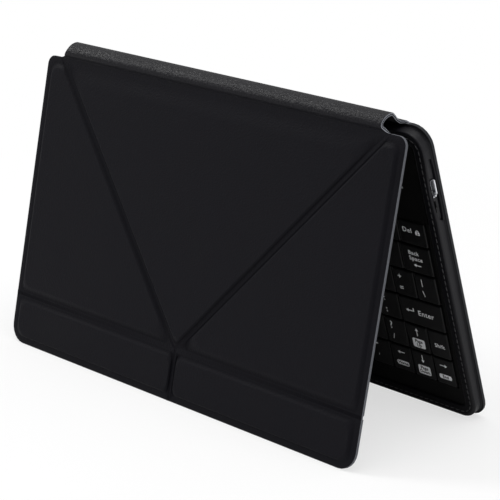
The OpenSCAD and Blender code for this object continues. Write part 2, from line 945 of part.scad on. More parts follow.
keys(3, [0]);  // key_tab
keys(3, [1 : 12]);  // keys_upper
keys(2, [0]);  // key_caps_lock
keys(2, [1 : 10]);  // keys_home
keys(2, [11]);  // key_enter
keys(1, [0]);  // key_shift_left
keys(1, [1 : 10]);  // keys_lower
keys(1, [11]);  // key_up
keys(1, [12]);  // key_shift_right
keys(0, [0, 1, 2, 3, 5, 6, 7]);  // keys_modifier
keys(0, [4]);  // key_space
keys(0, [8]);  // key_left
keys(0, [9]);  // key_down
keys(0, [10]);  // key_right
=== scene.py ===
"""Dresses the tablet keyboard case: leather, stitching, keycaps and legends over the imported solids.

The plan below is in millimetres, in two flat frames: the front cover's and the keyboard half's.
on_cover() and on_back() carry points from those frames to the shared one, in metres.
"""

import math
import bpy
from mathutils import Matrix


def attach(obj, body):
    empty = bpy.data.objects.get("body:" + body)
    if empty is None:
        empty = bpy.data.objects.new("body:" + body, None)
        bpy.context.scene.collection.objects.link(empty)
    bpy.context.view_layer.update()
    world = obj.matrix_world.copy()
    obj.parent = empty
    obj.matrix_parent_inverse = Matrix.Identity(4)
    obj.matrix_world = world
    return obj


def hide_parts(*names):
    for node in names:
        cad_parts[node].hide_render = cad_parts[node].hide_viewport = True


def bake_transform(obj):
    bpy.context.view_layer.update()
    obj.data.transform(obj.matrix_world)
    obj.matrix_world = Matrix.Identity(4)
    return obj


bl_info = {
    "name": "Tablet keyboard case",
    "version": (1, 0, 0),
    "blender": (4, 5, 0),
    "location": "3D View > Sidebar > Case",
    "description": "Makes the leather, stitching, keycaps and legends of a tablet keyboard case",
    "category": "Add Mesh",
}

import bmesh
import bpy
import numpy as np
from bpy.props import FloatProperty, FloatVectorProperty, IntProperty, PointerProperty
from bpy.types import Operator, Panel, PropertyGroup
from mathutils import Matrix, Vector

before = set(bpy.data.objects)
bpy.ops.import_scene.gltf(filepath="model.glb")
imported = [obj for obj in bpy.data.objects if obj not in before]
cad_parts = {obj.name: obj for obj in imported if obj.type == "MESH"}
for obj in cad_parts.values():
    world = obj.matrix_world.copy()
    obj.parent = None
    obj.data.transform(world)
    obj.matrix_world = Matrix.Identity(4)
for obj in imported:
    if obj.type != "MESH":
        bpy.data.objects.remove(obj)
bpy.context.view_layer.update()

# ---- Plan of the case, in millimetres: the same values as the solids ----

MM = 0.001

# Case and its two leans from upright
CASE_W, COVER_H, BACK_H, CORNER_R = 220.0, 136.0, 140.5, 8.4
COVER_LEAN, BACK_LEAN = math.radians(11.8), math.radians(18.1)

# Cover sheets: leather over a board over the lining, and the height of the fold axes
SKIN_T, BOARD_T, LINING_T = 0.8, 0.8, 0.6
STACK_T = SKIN_T + BOARD_T + LINING_T
FOLD_Z = LINING_T + SKIN_T / 2
LIP_W, FOOT_H, BACK_DROP = 3.0, 23.0, 1.0

# Half widths of the pressed channels: along a fold, and between the two feet
CHANNEL, FOOT_CHANNEL = 1.65, 2.2
# The board comes nearer to the fold on one side of each diagonal, and on the left foot
NEAR_DIAGONAL, NEAR_FOOT = 0.95, 0.6
# From a fold's axis to the panel that turns about it
SEAM = 0.8
FOLD_X = CASE_W / 2 - CORNER_R - 1.5 * SEAM

# Tray on the back cover
TRAY_D, TRAY_INSET, TRAY_TOP_GAP = 4.5, 1.0, 1.3
HALF_T = TRAY_D + STACK_T
TRAY_W, TRAY_H, BORDER_W = CASE_W - 2 * TRAY_INSET, BACK_H - TRAY_TOP_GAP, 5.4

# Spine strip: width, distance between its creases, and the place of its crest
SPINE_W, SPINE_GAP, CREST_UP, CREST_IN, BULGE = 194.0, 13.0, 4.7, 4.9, 3.0

# Keyboard: its foot inside the border, its height, and the field of keys on it
CASE_GAP, KEY_MARGIN = 0.3, 9.0
FRONT_SHARE, KEYS_SHARE, TOP_ROW_SHARE = 0.067, 0.643, 0.868
UNIT_S = BORDER_W + CASE_GAP
UNIT_H = TRAY_H - 2 * UNIT_S
KEYS_W, KEYS_S = CASE_W - 2 * KEY_MARGIN, UNIT_S + UNIT_H * FRONT_SHARE
ROW_PITCH = UNIT_H * KEYS_SHARE / (5 + TOP_ROW_SHARE)
TOP_ROW_D = ROW_PITCH * TOP_ROW_SHARE

# Keys: a letter key, a narrow one, the last one of the two lowest rows, and the wider ones
LETTER = KEYS_W / 13.03
NARROW, LAST = LETTER * 0.787, LETTER * 0.7226
ENTER, BACKSPACE, DELETE = LETTER * 1.561, LETTER * 1.077, LETTER * 0.974
KEY_GAP = 0.7

# Side window: its lower end, length and slant, its lower edge, and the sag of the strip above it
WINDOW_S, WINDOW_L, WINDOW_SLANT = TRAY_H - 41.5, 29.6, 3.0
WINDOW_LOW, WINDOW_SAG = STACK_T + 0.4, 0.9

# Socket: its middle along the tray, its lower face, its width and height, and its mouth
PORT_S, PORT_Z, PORT_W, PORT_H, PORT_X = TRAY_H - 25.0, 3.3, 7.5, 2.5, TRAY_W / 2 - 0.2

# ---- The two flat frames ----

COVER_UP = np.array([math.sin(COVER_LEAN), math.cos(COVER_LEAN)])
COVER_OUT = np.array([-math.cos(COVER_LEAN), math.sin(COVER_LEAN)])
BACK_UP = np.array([-math.sin(BACK_LEAN), math.cos(BACK_LEAN)])
BACK_OUT = np.array([math.cos(BACK_LEAN), math.sin(BACK_LEAN)])
BACK_DEPTH = TRAY_D + FOLD_Z
FRONT_CREASE = COVER_H * COVER_UP + FOLD_Z * COVER_OUT
BACK_CREASE = np.array(
    [FRONT_CREASE[0] + SPINE_GAP, (BACK_H * BACK_UP + BACK_DEPTH * BACK_OUT)[1]]
)
BACK_FOOT = BACK_CREASE - BACK_H * BACK_UP - BACK_DEPTH * BACK_OUT
FRONT_EDGE = (LIP_W * COVER_UP + STACK_T * COVER_OUT)[0]
BACK_EDGE = (BACK_FOOT + (LIP_W - BACK_DROP) * BACK_UP + HALF_T * BACK_OUT)[0]
LIP_EDGE = (BACK_FOOT - BACK_DROP * BACK_UP + (TRAY_D + LINING_T + SKIN_T) * BACK_OUT)[0]
SHIFT = np.array([-(FRONT_EDGE + max(BACK_EDGE, LIP_EDGE)) / 2, 0.0])


def on_cover(points):
    """Cover frame to metres: X along the spine, then up the cover, then out of its leather."""
    p = np.asarray(points, float)
    yz = SHIFT + p[..., 1:2] * COVER_UP + p[..., 2:3] * COVER_OUT
    return np.concatenate([p[..., :1], yz], -1) * MM


def on_back(points):
    """Keyboard frame to metres: X along the spine, up the tray, and from the cover to the keys."""
    p = np.asarray(points, float)
    yz = SHIFT + BACK_FOOT + p[..., 1:2] * BACK_UP + (HALF_T - p[..., 2:3]) * BACK_OUT
    return np.concatenate([p[..., :1], yz], -1) * MM


# ---- Sizes and colours that a user would change ----


def length(name, description, millimetres):
    """A length that the sidebar shows in the scene's unit; its default is in millimetres."""
    return FloatProperty(
        name=name, description=description, default=millimetres * MM, min=0.0,
        unit="LENGTH", subtype="DISTANCE", precision=5,
    )


def colour(name, description, rgb):
    """A base colour, red, green and blue from 0 to 1."""
    return FloatVectorProperty(
        name=name, description=description, default=rgb, size=3, min=0.0, max=1.0,
        subtype="COLOR",
    )


class CaseSizes(PropertyGroup):
    """Sizes of the finish that the solids leave open."""

    shoulder: length("Shoulder", "Width of the slope from a channel up to a raised board", 2.4)
    shoulder_fillet: length("Spine shoulder", "Radius between the spine and the cover", 3.4)
    arch_start: length("Arch start", "Distance from a cover where the spine starts to shine", 1.0)
    arch_blend: length("Arch blend", "Length over which the spine's shine grows to its full", 6.0)
    border_round: length("Border rounding", "Radius of the tray border's edges", 0.75)
    stitch_in: length("Stitch line", "Distance from the border's edge to the stitches", 2.5)
    stitch_pitch: length("Stitch pitch", "Distance from one stitch to the next", 2.9)
    thread: length("Thread", "Diameter of the thread", 0.42)
    dish: length("Key dish", "Depth of the hollow in a keycap's top", 0.05)
    legend: length("Legend height", "Height of the capital letters' type", 3.4)
    grain: length("Grain", "Size of the leather's pebbles", 0.75)
    key_sides: IntProperty(
        name="Corner steps", description="Steps in each round corner of a keycap",
        default=4, min=2, max=8,
    )


class CaseColours(PropertyGroup):
    """Base colours of the finishes."""

    leather: colour("Leather", "Coated leather of covers and tray", (0.0054, 0.0052, 0.0075))
    lining: colour("Lining", "Microfibre lining", (0.009, 0.009, 0.0098))
    cut_edge: colour("Cut edge", "Raw cut edges of the sheets", (0.1, 0.104, 0.116))
    plastic: colour("Plastic", "Moulded case of the keyboard", (0.0035, 0.0035, 0.0038))
    keycap: colour("Keycap", "Moulded keycaps", (0.005, 0.005, 0.0054))
    legend: colour("Legend", "Print on the keycaps", (0.96, 0.97, 0.99))
    thread: colour("Thread", "Stitching thread", (0.045, 0.045, 0.048))
    steel: colour("Steel", "Plated shell of the socket", (0.78, 0.79, 0.82))


def sizes():
    """The sizes as the sidebar has them now, in metres."""
    return bpy.context.scene.case_sizes


def colours():
    """The base colours as the sidebar has them now."""
    return bpy.context.scene.case_colours


def in_mm(value):
    """A size of the sidebar in the plan's millimetres."""
    return value / MM


# ---- Flat outlines ----

# Steps round a corner of a panel, and points along each of its edges
ARC_STEPS, EDGE_POINTS = 6, 3


def unit(v):
    """The vectors divided by their lengths."""
    return v / np.linalg.norm(v, axis=-1, keepdims=True)


def left_of(v):
    """The vectors (x, y) turned left by a quarter turn: (-y, x)."""
    return np.stack([-v[..., 1], v[..., 0]], -1)


def cross_of(a, b):
    """Cross product of flat vectors: ax * by - ay * bx."""
    return a[..., 0] * b[..., 1] - a[..., 1] * b[..., 0]


def inset(points, gaps):
    """Moves edge i of a convex outline in by gaps[i]. A corner is where its moved edges meet."""
    p, gaps = np.asarray(points, float), np.asarray(gaps, float)
    after = unit(np.roll(p, -1, 0) - p)
    before = np.roll(after, 1, 0)
    a = p + left_of(before) * np.roll(gaps, 1)[:, None]
    b = p + left_of(after) * gaps[:, None]
    return a + before * (cross_of(b - a, after) / cross_of(before, after))[:, None]


def outline(points, radii, arc=ARC_STEPS, straight=EDGE_POINTS):
    """Each corner as arc + 1 points round its radius, then straight points along the next edge.

    The arc's middle is the corner, less radius * tan(turn / 2) along the edge before it, plus the
    radius to the left. A radius is at most what half of the shorter edge beside it leaves room for.
    """
    p = np.asarray(points, float)
    after = unit(np.roll(p, -1, 0) - p)
    before = np.roll(after, 1, 0)
    turn = np.arccos(np.clip((before * after).sum(1), -1, 1))
    edge = np.linalg.norm(np.roll(p, -1, 0) - p, axis=1)
    room = 0.49 * np.minimum(edge, np.roll(edge, 1)) / np.tan(turn / 2)
    r = np.clip(np.asarray(radii, float), 0.02, room)[:, None]
    middle = p - before * r * np.tan(turn / 2)[:, None] + left_of(before) * r
    first = np.arctan2(*(-left_of(before)[:, ::-1]).T)
    angle = first[:, None] + turn[:, None] * np.linspace(0, 1, arc + 1)
    arcs = middle[:, None] + r[:, None] * np.stack([np.cos(angle), np.sin(angle)], -1)
    t = np.linspace(0, 1, straight + 2)[1:-1, None]
    lines = arcs[:, -1:] * (1 - t) + np.roll(arcs[:, 0], -1, 0)[:, None] * t
    return np.concatenate([arcs, lines], 1).reshape(-1, 2)


def edge_share(values):
    """A value of each edge, for the points of outline(): it changes evenly round the corners."""
    v = np.asarray(values, float)
    t = np.linspace(0, 1, ARC_STEPS + 1)
    corners = np.roll(v, 1)[:, None] * (1 - t) + v[:, None] * t
    return np.concatenate([corners, np.repeat(v[:, None], EDGE_POINTS, 1)], 1).ravel()


def box_corners(x0, y0, x1, y1):
    """Corners of a rectangle, anticlockwise from its lower left."""
    return np.array([[x0, y0], [x1, y0], [x1, y1], [x0, y1]], float)


# ---- Meshes from arrays ----


def grid_quads(rows, columns, loop_rows=False, loop_columns=False):
    """Quads of a grid numbered row by row, which may close on itself either way."""
    i = np.arange(rows if loop_rows else rows - 1)[:, None]
    j = np.arange(columns if loop_columns else columns - 1)[None, :]
    below, right = (i + 1) % rows, (j + 1) % columns
    corners = [i * columns + j, i * columns + right, below * columns + right, below * columns + j]
    whole = [np.broadcast_to(corner, (i.size, j.size)) for corner in corners]
    return np.stack(whole, -1).reshape(-1, 4)


class Patches:
    """Collects arrays of points and faces, each with a material number, for one mesh.

    Each point has a crease value too: 0 on a flat field, 1 in a fold, more in a sharp one, and
    down to -1 where the sheet is stretched over an arch. Above 0 it darkens the leather's tint,
    which is painted shade.
    """

    def __init__(self):
        self.points, self.faces, self.numbers, self.creases, self.count = [], [], [], [], 0

    def add(self, points, faces, material=0, crease=0.0):
        """Adds a patch; material and crease are one value, or one for each face or point."""
        points = np.asarray(points, float).reshape(-1, 3)
        faces = [list(map(int, f)) for f in faces]
        self.points.append(points)
        self.creases.append(np.broadcast_to(crease, len(points)))
        self.faces += [[v + self.count for v in f] for f in faces]
        self.numbers += [int(n) for n in np.broadcast_to(material, len(faces))]
        self.count += len(points)

    def build(self, name, materials, sharp=None, merge=1e-7):
        """Makes the object: close points merged, faces outward, smooth up to the sharp angle."""
        mesh = bpy.data.meshes.new(name)
        mesh.from_pydata(np.concatenate(self.points).tolist(), [], self.faces)
        for material in materials:
            mesh.materials.append(material)
        mesh.polygons.foreach_set("material_index", self.numbers)
        # the crease value; above 0 the leather material paints shade with it
        crease = mesh.attributes.new("crease", "FLOAT", "POINT")
        crease.data.foreach_set("value", np.concatenate(self.creases))
        bm = bmesh.new()
        bm.from_mesh(mesh)
        bmesh.ops.remove_doubles(bm, verts=bm.verts, dist=merge)
        bmesh.ops.dissolve_degenerate(bm, edges=bm.edges, dist=merge)
        bmesh.ops.recalc_face_normals(bm, faces=bm.faces)
        bm.to_mesh(mesh)
        bm.free()
        finish_shading(mesh, sharp)
        made = bpy.data.objects.new(name, mesh)
        bpy.context.scene.collection.objects.link(made)
        return made


def finish_shading(mesh, sharp):
    """Smooth shading up to the angle sharp, in degrees; None leaves every face flat."""
    mesh.polygons.foreach_set("use_smooth", [sharp is not None] * len(mesh.polygons))
    if sharp is not None:
        mesh.set_sharp_from_angle(angle=math.radians(sharp))


def shell_from_rings(patches, rings, materials, creases=0.0, caps=None):
    """Closed shell: rings (k, n, 3) joined by quads, and both end rings closed by a fan.

    caps is the fans' material; without it they take that of the band beside them.
    """
    count, n = rings.shape[:2]
    bands = np.repeat(materials, n)
    patches.add(rings, grid_quads(count, n, loop_columns=True), bands, np.ravel(creases))
    ring = np.arange(n)
    for index, beside in ((0, materials[0]), (count - 1, materials[-1])):
        material = beside if caps is None else caps
        middle = rings[index].mean(0, keepdims=True)
        fan = np.stack([ring, (ring + 1) % n, np.full(n, n)], -1)
        patches.add(np.concatenate([rings[index], middle]), fan, material)


def slab(patches, outer, inner, sides, crease):
    """Closed slab between two grids (i, j, 3). sides are the materials of its four walls.

    The walls stand at the grid's first and last row, then at its first and last column.
    """
    rows, columns = outer.shape[:2]
    crease = np.broadcast_to(crease, (rows, columns))
    patches.add(outer, grid_quads(rows, columns), 0, crease.ravel())
    patches.add(inner, grid_quads(rows, columns)[:, ::-1], 0, crease.ravel())
    edges = (np.s_[0], np.s_[-1], np.s_[:, 0], np.s_[:, -1])
    for edge, material in zip(edges, sides):
        wall = np.stack([outer[edge], inner[edge]])
        patches.add(wall, grid_quads(2, wall.shape[1]), material, np.tile(crease[edge], 2))


# ---- Node materials ----


class Nodes:
    """Short calls for building one material's node tree."""

    def __init__(self, name):
        self.material = bpy.data.materials.new(name)
        self.material.use_nodes = True
        self.tree = self.material.node_tree
        self.shader = self.tree.nodes["Principled BSDF"]
        self.place = self.add("ShaderNodeTexCoord").outputs["Object"]

    def add(self, kind, inputs=None, **settings):
        """A node of that kind; an input is a value or another node's socket."""
        node = self.tree.nodes.new(kind)
        for key, value in settings.items():
            setattr(node, key, value)
        for key, value in (inputs or {}).items():
            if isinstance(value, bpy.types.NodeSocket):
                self.tree.links.new(value, node.inputs[key])
            else:
                node.inputs[key].default_value = value
        return node

    def noise(self, size, detail=2.0, roughness=0.5, place=None):
        """Noise whose features are about size millimetres across."""
        inputs = {"Vector": place or self.place, "Scale": 1 / (size * MM)}
        inputs.update({"Detail": detail, "Roughness": roughness})
        return self.add("ShaderNodeTexNoise", inputs).outputs["Fac"]

    def cells(self, size):
        """Distance from the middles of rounded cells about size millimetres across."""
        inputs = {"Vector": self.place, "Scale": 1 / (size * MM)}
        return self.add("ShaderNodeTexVoronoi", inputs, feature="SMOOTH_F1").outputs["Distance"]

    def spread(self, value, low, high, start=0.0, stop=1.0):
        """Maps start..stop to low..high."""
        node = self.add(
            "ShaderNodeMapRange",
            {"Value": value, "From Min": start, "From Max": stop, "To Min": low, "To Max": high},
        )
        return node.outputs["Result"]

    def times(self, a, b):
        """a * b."""
        return self.add("ShaderNodeMath", {0: a, 1: b}, operation="MULTIPLY").outputs["Value"]

    def sum(self, a, b, share=1.0):
        """a + share * b."""
        node = self.add("ShaderNodeMath", {0: b, 1: share, 2: a}, operation="MULTIPLY_ADD")
        return node.outputs["Value"]

    def shades(self, value, dark, light):
        """A colour between dark and light."""
        ramp = self.add("ShaderNodeValToRGB", {"Fac": value})
        ramp.color_ramp.elements[0].color = (*dark, 1)
        ramp.color_ramp.elements[1].color = (*light, 1)
        return ramp.outputs["Color"]

    def bump(self, height, millimetres, strength=1.0, normal=None):
        """A normal tilted by a height of 0 to 1, which stands for that many millimetres."""
        inputs = {"Height": height, "Distance": millimetres * MM, "Strength": strength}
        if normal is not None:
            inputs["Normal"] = normal
        return self.add("ShaderNodeBump", inputs).outputs["Normal"]

    def finish(self, base, roughness, normal=None, **constants):
        """Links or sets the shader's inputs. A constant's name is the input's, in small letters."""
        for key, value in (("Base Color", base), ("Roughness", roughness), ("Normal", normal)):
            if value is None:
                continue
            if isinstance(value, bpy.types.NodeSocket):
                self.tree.links.new(value, self.shader.inputs[key])
            else:
                colour_input = key == "Base Color"
                self.shader.inputs[key].default_value = (*value, 1) if colour_input else value
        for key, value in constants.items():
            title = key.replace("_", " ").title().replace("Ior", "IOR")
            self.shader.inputs[title].default_value = value
        return self.material


def scaled(rgb, factor):
    """A base colour made lighter or darker by a factor, up to white."""
    return tuple(min(1.0, c * factor) for c in rgb)


# On the spine's arch: depth of the open pores against the pebbles, added shine, and how much
# smoother the leather is
ARCH_PORES, ARCH_SHINE, ARCH_POLISH = 4.2, 0.24, 0.19
# In a fold: how much darker the tint is, as painted shade, and the share of shine left
FOLD_PAINTED_SHADE, FOLD_SHINE = 0.45, 0.15


def leather_material(name, grain_share, grain_depth, gloss, specular, crinkle):
    """Coated leather: pebbles on a fine hair-cell noise, with faint clouds of colour and wear.

    Height is pebbles + 0.35 * hair cells + 0.6 * soft waves + pores on the arch. Where the mesh's
    crease value is above 0, in a fold, the leather is duller and crinkled, and its tint is darker,
    which is painted shade. arch is the value below 0, turned round: there the leather is stretched
    over the spine, polished, with its pores pulled open.
    """
    n = Nodes(name)
    base = tuple(colours().leather)
    grain = in_mm(sizes().grain) * grain_share
    # the crease value: above 0 it paints shade into the folds and onto the tray border's face
    crease = n.add("ShaderNodeAttribute", attribute_name="crease").outputs["Fac"]
    fold = n.spread(crease, 0.0, 2.0, 0.0, 2.0)
    arch = n.spread(crease, 1.0, 0.0, -1.0, 0.0)
    pebbles = n.cells(grain)
    fine = n.noise(grain * 0.3, 3.0, 0.6)
    soft = n.noise(grain * 6, 4.0, 0.65)
    wrinkles = n.noise(1.9, 3.0, 0.55)
    pores = n.times(n.sum(n.cells(1.3), n.noise(1.0, 3.0, 0.6), 1.2), arch)
    height = n.sum(n.sum(n.sum(pebbles, fine, 0.35), soft, 0.6), pores, ARCH_PORES)
    folded = n.times(wrinkles, fold)
    clouds = n.noise(26, 3.0)
    tint = n.sum(n.spread(clouds, 0.6, 0.72, 0.3, 0.7), pebbles, 0.2)
    rough = n.sum(n.spread(clouds, gloss - 0.05, gloss + 0.05, 0.3, 0.7), fine, 0.08)
    shine = n.sum(n.spread(fold, specular, specular * FOLD_SHINE), arch, ARCH_SHINE)
    n.tree.links.new(shine, n.shader.inputs["Specular IOR Level"])
    # the tint is darker where the crease value is above 0: painted shade
    return n.finish(
        n.shades(n.sum(tint, fold, -FOLD_PAINTED_SHADE), scaled(base, 0.25), scaled(base, 1.25)),
        n.sum(rough, arch, -ARCH_POLISH), n.bump(height, grain_depth, 0.8, n.bump(folded, crinkle)),
    )


def lining_material():
    """Microfibre: short matt nap with soft patches, where it has been brushed."""
    n = Nodes("lining_nap")
    base = tuple(colours().lining)
    nap, patches = n.noise(0.22, 3.0, 0.7), n.noise(12, 2.0)
    brushed = n.sum(n.spread(patches, 0, 0.6, 0.35, 0.65), nap, 0.5)
    return n.finish(
        n.shades(brushed, scaled(base, 0.7), scaled(base, 1.3)),
        n.spread(nap, 0.86, 0.98), n.bump(nap, 0.05, 0.6), specular_ior_level=0.12,
    )


def cut_edge_material(name, base):
    """Raw edge of split leather and board: grey fibres in layers, darker in the pores."""
    n = Nodes(name)
    fibres, pores = n.noise(0.35, 4.0, 0.7), n.noise(2.2, 2.0)
    return n.finish(
        n.shades(n.sum(fibres, pores, 0.5), scaled(base, 0.55), scaled(base, 1.35)),
        n.spread(fibres, 0.7, 0.9), n.bump(fibres, 0.06, 0.7), specular_ior_level=0.2,
    )


def plastic_material(name, base, roughness, texture, depth, shine=0.25):
    """Spark-eroded moulding: fine even stipple, and roughness that varies with handling."""
    n = Nodes(name)
    stipple, handling = n.noise(texture, 2.0, 0.5), n.noise(14, 2.0)
    tint = n.sum(n.spread(handling, 0.1, 0.5, 0.3, 0.7), stipple, 0.3)
    return n.finish(
        n.shades(tint, scaled(base, 0.85), scaled(base, 1.2)),
        n.spread(handling, roughness - 0.06, roughness + 0.06, 0.3, 0.7),
        n.bump(stipple, depth, 0.6), specular_ior_level=shine,
    )


def print_material():
    """Pad-printed legends: slightly uneven ink."""
    n = Nodes("legend_ink")
    base = tuple(colours().legend)
    ink = n.noise(0.25, 2.0)
    return n.finish(
        n.shades(n.spread(ink, 0.2, 1.0, 0.3, 0.7), scaled(base, 0.88), base),
        n.spread(ink, 0.5, 0.65), n.bump(ink, 0.01, 0.5), specular_ior_level=0.3,
    )


def thread_material():
    """Twisted polyester: fine strands across the stitch."""
    n = Nodes("waxed_thread")
    base = tuple(colours().thread)
    strands = n.noise(0.12, 1.0)
    return n.finish(
        n.shades(strands, scaled(base, 0.5), scaled(base, 1.6)), n.spread(strands, 0.45, 0.7),
        n.bump(strands, 0.05, 0.8), specular_ior_level=0.35,
    )


def metal_material(name, base, roughness):
    """Plated steel: fine rolling lines and small changes of polish."""
    n = Nodes(name)
    rolled = {"Vector": n.place, "Scale": (0.12, 1.0, 1.0)}
    stretched = n.add("ShaderNodeMapping", rolled).outputs["Vector"]
    lines, polish = n.noise(0.09, 2.0, place=stretched), n.noise(1.6, 2.0)
    return n.finish(
        n.shades(polish, scaled(base, 0.9), base),
        n.spread(polish, roughness - 0.04, roughness + 0.06, 0.3, 0.7),
        n.bump(lines, 0.004, 0.4), metallic=1.0,
    )


def simple_grain_material(name, base, roughness, size, depth, **constants):
    """Hidden or small parts: a colour with its own mottling and surface grain."""
    n = Nodes(name)
    grain = n.noise(size, 3.0)
    return n.finish(
        n.shades(grain, scaled(base, 0.75), scaled(base, 1.2)),
        n.spread(grain, roughness - 0.08, roughness + 0.08), n.bump(grain, depth, 0.5), **constants,
    )


# Finishes made so far
MATERIALS = {}
# Angle in degrees up to which the edges of sheets and moulded pieces are shaded smooth
SMOOTH_UP_TO = 35


def finish_recipes():
    """Every finish: the function that makes it, and what that is given."""
    c = colours()
    leather, edge, moulded, grain = (
        leather_material, cut_edge_material, plastic_material, simple_grain_material,
    )
    return {
        # name, share of the grain size, grain depth, roughness, shine, crinkle
        "cover": (leather, "cover_leather", 1.0, 0.14, 0.52, 0.075, 0.25),
        "border": (leather, "border_leather", 0.9, 0.05, 0.45, 0.25, 0.1),
        "lining": (lining_material,),
        "cut_edge": (edge, "cut_edge_fibre", tuple(c.cut_edge)),
        # a lighter copy of the cut edge for the spine's cut ends: painted light
        "bright_edge": (edge, "bright_edge", scaled(c.cut_edge, 2.0)),
        # a darker copy of the cut edge, for the back cover's edges
        "stained_edge": (edge, "stained_edge", scaled(c.cut_edge, 0.25)),
        # name, colour, roughness, size and depth of the stipple, shine
        "key_frame": (moulded, "frame_plastic", scaled(c.plastic, 0.4), 0.5, 0.14, 0.02, 0.1),
        # the case plastic at nine times its colour: painted light, so the end plate in the shadowed
        # side window looks lit
        "case_base": (moulded, "case_plastic", scaled(c.plastic, 9.0), 0.5, 0.14, 0.02),
        "keycap": (moulded, "keycap_plastic", tuple(c.keycap), 0.38, 0.1, 0.01, 0.18),
        "control": (moulded, "control_plastic", scaled(c.plastic, 1.6), 0.34, 0.1, 0.01),
        "tongue": (moulded, "tongue_plastic", (0.3, 0.3, 0.31), 0.4, 0.1, 0.01),
        "legend": (print_material,),
        "thread": (thread_material,),
        "steel": (metal_material, "plated_steel", tuple(c.steel), 0.2),
        # name, colour, roughness, size and depth of the grain
        "board": (grain, "grey_board", (0.3, 0.29, 0.27), 0.9, 0.6, 0.05),
        "rubber": (grain, "black_rubber", (0.02, 0.02, 0.02), 0.7, 0.3, 0.02),
        "film": (grain, "printed_film", (0.6, 0.63, 0.56), 0.3, 2.0, 0.01),
        "circuit": (grain, "solder_mask", (0.03, 0.16, 0.07), 0.3, 0.8, 0.02),
        "foil": (foil_material,),
        "lens": (lens_material,),
    }


def foil_material():
    """Aluminium laminate of the battery's pouch."""
    return simple_grain_material(
        "battery_foil", (0.5, 0.52, 0.56), 0.35, 1.5, 0.03, metallic=1.0
    )


def lens_material():
    """Clear plastic of the lamp lenses."""
    return simple_grain_material(
        "lamp_lens", (0.75, 0.8, 0.85), 0.18, 0.5, 0.005, transmission_weight=0.6
    )


def finish_of(name):
    """The material of that finish, made the first time it is asked for."""
    if name not in MATERIALS:
        make, *settings = finish_recipes()[name]
        MATERIALS[name] = make(*settings)
    return MATERIALS[name]


def dress(node, material):
    """Gives a solid that stays in place a material of its own finish."""
    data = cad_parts[node].data
    data.materials.clear()
    data.materials.append(finish_of(material))


def seat(piece, body, slot, *nodes):
    """The piece rides on its body and stands for the nodes, which it hides. slot is not used."""
    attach(piece, body)
    if nodes:
        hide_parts(*nodes)


# ---- Cover panels ----

# The feet's strips stop this far short of the middle: the upright fold closes on itself there.
UPRIGHT_GAP = 0.06
HALF_W = CASE_W / 2
PANELS = {
    # outline, corner radii, and for each edge: how far its sheets are cut back, how far in its
    # raised field is, whether it is a cut edge, its shoulder as a share of the usual one, and how
    # strongly the leather is creased along it, which also paints shade along that edge. Both wings
    # are drawn as the right one.
    "centre": (
        [[0, FOOT_H], [FOLD_X, COVER_H], [-FOLD_X, COVER_H]], [0, 0, 0],
        [SEAM, 0, SEAM], [NEAR_DIAGONAL, LIP_W, CHANNEL], [0, 0, 0], [0.45, 3.4, 0.6],
        [0.75, 0, 0.45],
    ),
    "wing_left": (
        [[0, FOOT_H], [HALF_W, FOOT_H], [HALF_W, COVER_H], [FOLD_X, COVER_H]], [0, 0, CORNER_R, 0],
        [SEAM, 0, 0, SEAM], [CHANNEL, LIP_W, LIP_W, NEAR_DIAGONAL], [0, 1, 1, 0],
        [1.3, 0.8, 1.2, 0.45], [0.45, 0.4, 0.2, 0.4],
    ),
    "wing_right": (
        [[0, FOOT_H], [HALF_W, FOOT_H], [HALF_W, COVER_H], [FOLD_X, COVER_H]], [0, 0, CORNER_R, 0],
        [SEAM, 0, 0, SEAM], [CHANNEL, LIP_W, LIP_W, CHANNEL], [0, 1, 1, 0],
        [1.4, 0.8, 1.2, 0.6], [0.45, 0.4, 0.2, 1.0],
    ),
    "foot_left": (
        box_corners(0, 0, HALF_W, FOOT_H), [0, CORNER_R, 0, 0],
        [0, 0, SEAM, SEAM], [LIP_W, LIP_W, CHANNEL, NEAR_FOOT], [1, 1, 0, 0],
        [0.4, 0.8, 1.2, 0.3], [0.15, 0.3, 0.3, 1.6],
    ),
    "foot_right": (
        box_corners(0, 0, HALF_W, FOOT_H), [0, CORNER_R, 0, 0],
        [0, 0, SEAM, SEAM], [LIP_W, LIP_W, CHANNEL, FOOT_CHANNEL], [1, 1, 0, 0],
        [0.4, 0.8, 1.2, 0.35], [0.15, 0.3, 0.3, 1.6],
    ),
    "back": (
        box_corners(-HALF_W, -BACK_DROP, HALF_W, BACK_H), [CORNER_R] * 4,
        [0, 0, 0, 0], [LIP_W] * 4, [1, 1, 0, 1], [0.7] * 4, [0.3] * 4,
    ),
}
LIP_Z, FIELD_Z = LINING_T + SKIN_T, STACK_T
# Radius of a field's corners: beside a rounded corner of the sheet it is that one's, less the
# lip and this much, and at a fold it is the second value. The last is its growth on the shoulder.
FIELD_R_LESS, FIELD_R_FOLD, FIELD_R_GROWTH = 1.5, 2.0, 0.9


def panel_ring(panel, share, extra, z, drop=0.0, widen=0.0):
    """One ring of a panel: share 0 is its sheet's edge and 1 the foot of its raised field.

    Every edge is moved in by its own distance, and the round corners get tighter with it.
    extra goes in further, all round at share 1 and only at cut edges at share 0. widen is how
    much further the shoulder has come in, which rounds the field's corners more.
    """
    points, radii, seam, field, cut, shoulder, _ = (np.asarray(v, float) for v in panel)
    step = extra + widen * shoulder if share else extra * cut
    gaps = seam * (1 - share) + field * share + step
    tight = np.where(radii > 0, np.maximum(1.0, radii - LIP_W - FIELD_R_LESS), FIELD_R_FOLD)
    tight = tight + widen * FIELD_R_GROWTH
    corner = radii - extra * (radii > 0) if not share else tight + np.maximum(0, -extra)
    flat = outline(inset(points, gaps), corner)
    height = z - drop * edge_share(cut)
    return np.concatenate([flat, np.broadcast_to(height, len(flat))[:, None]], 1)


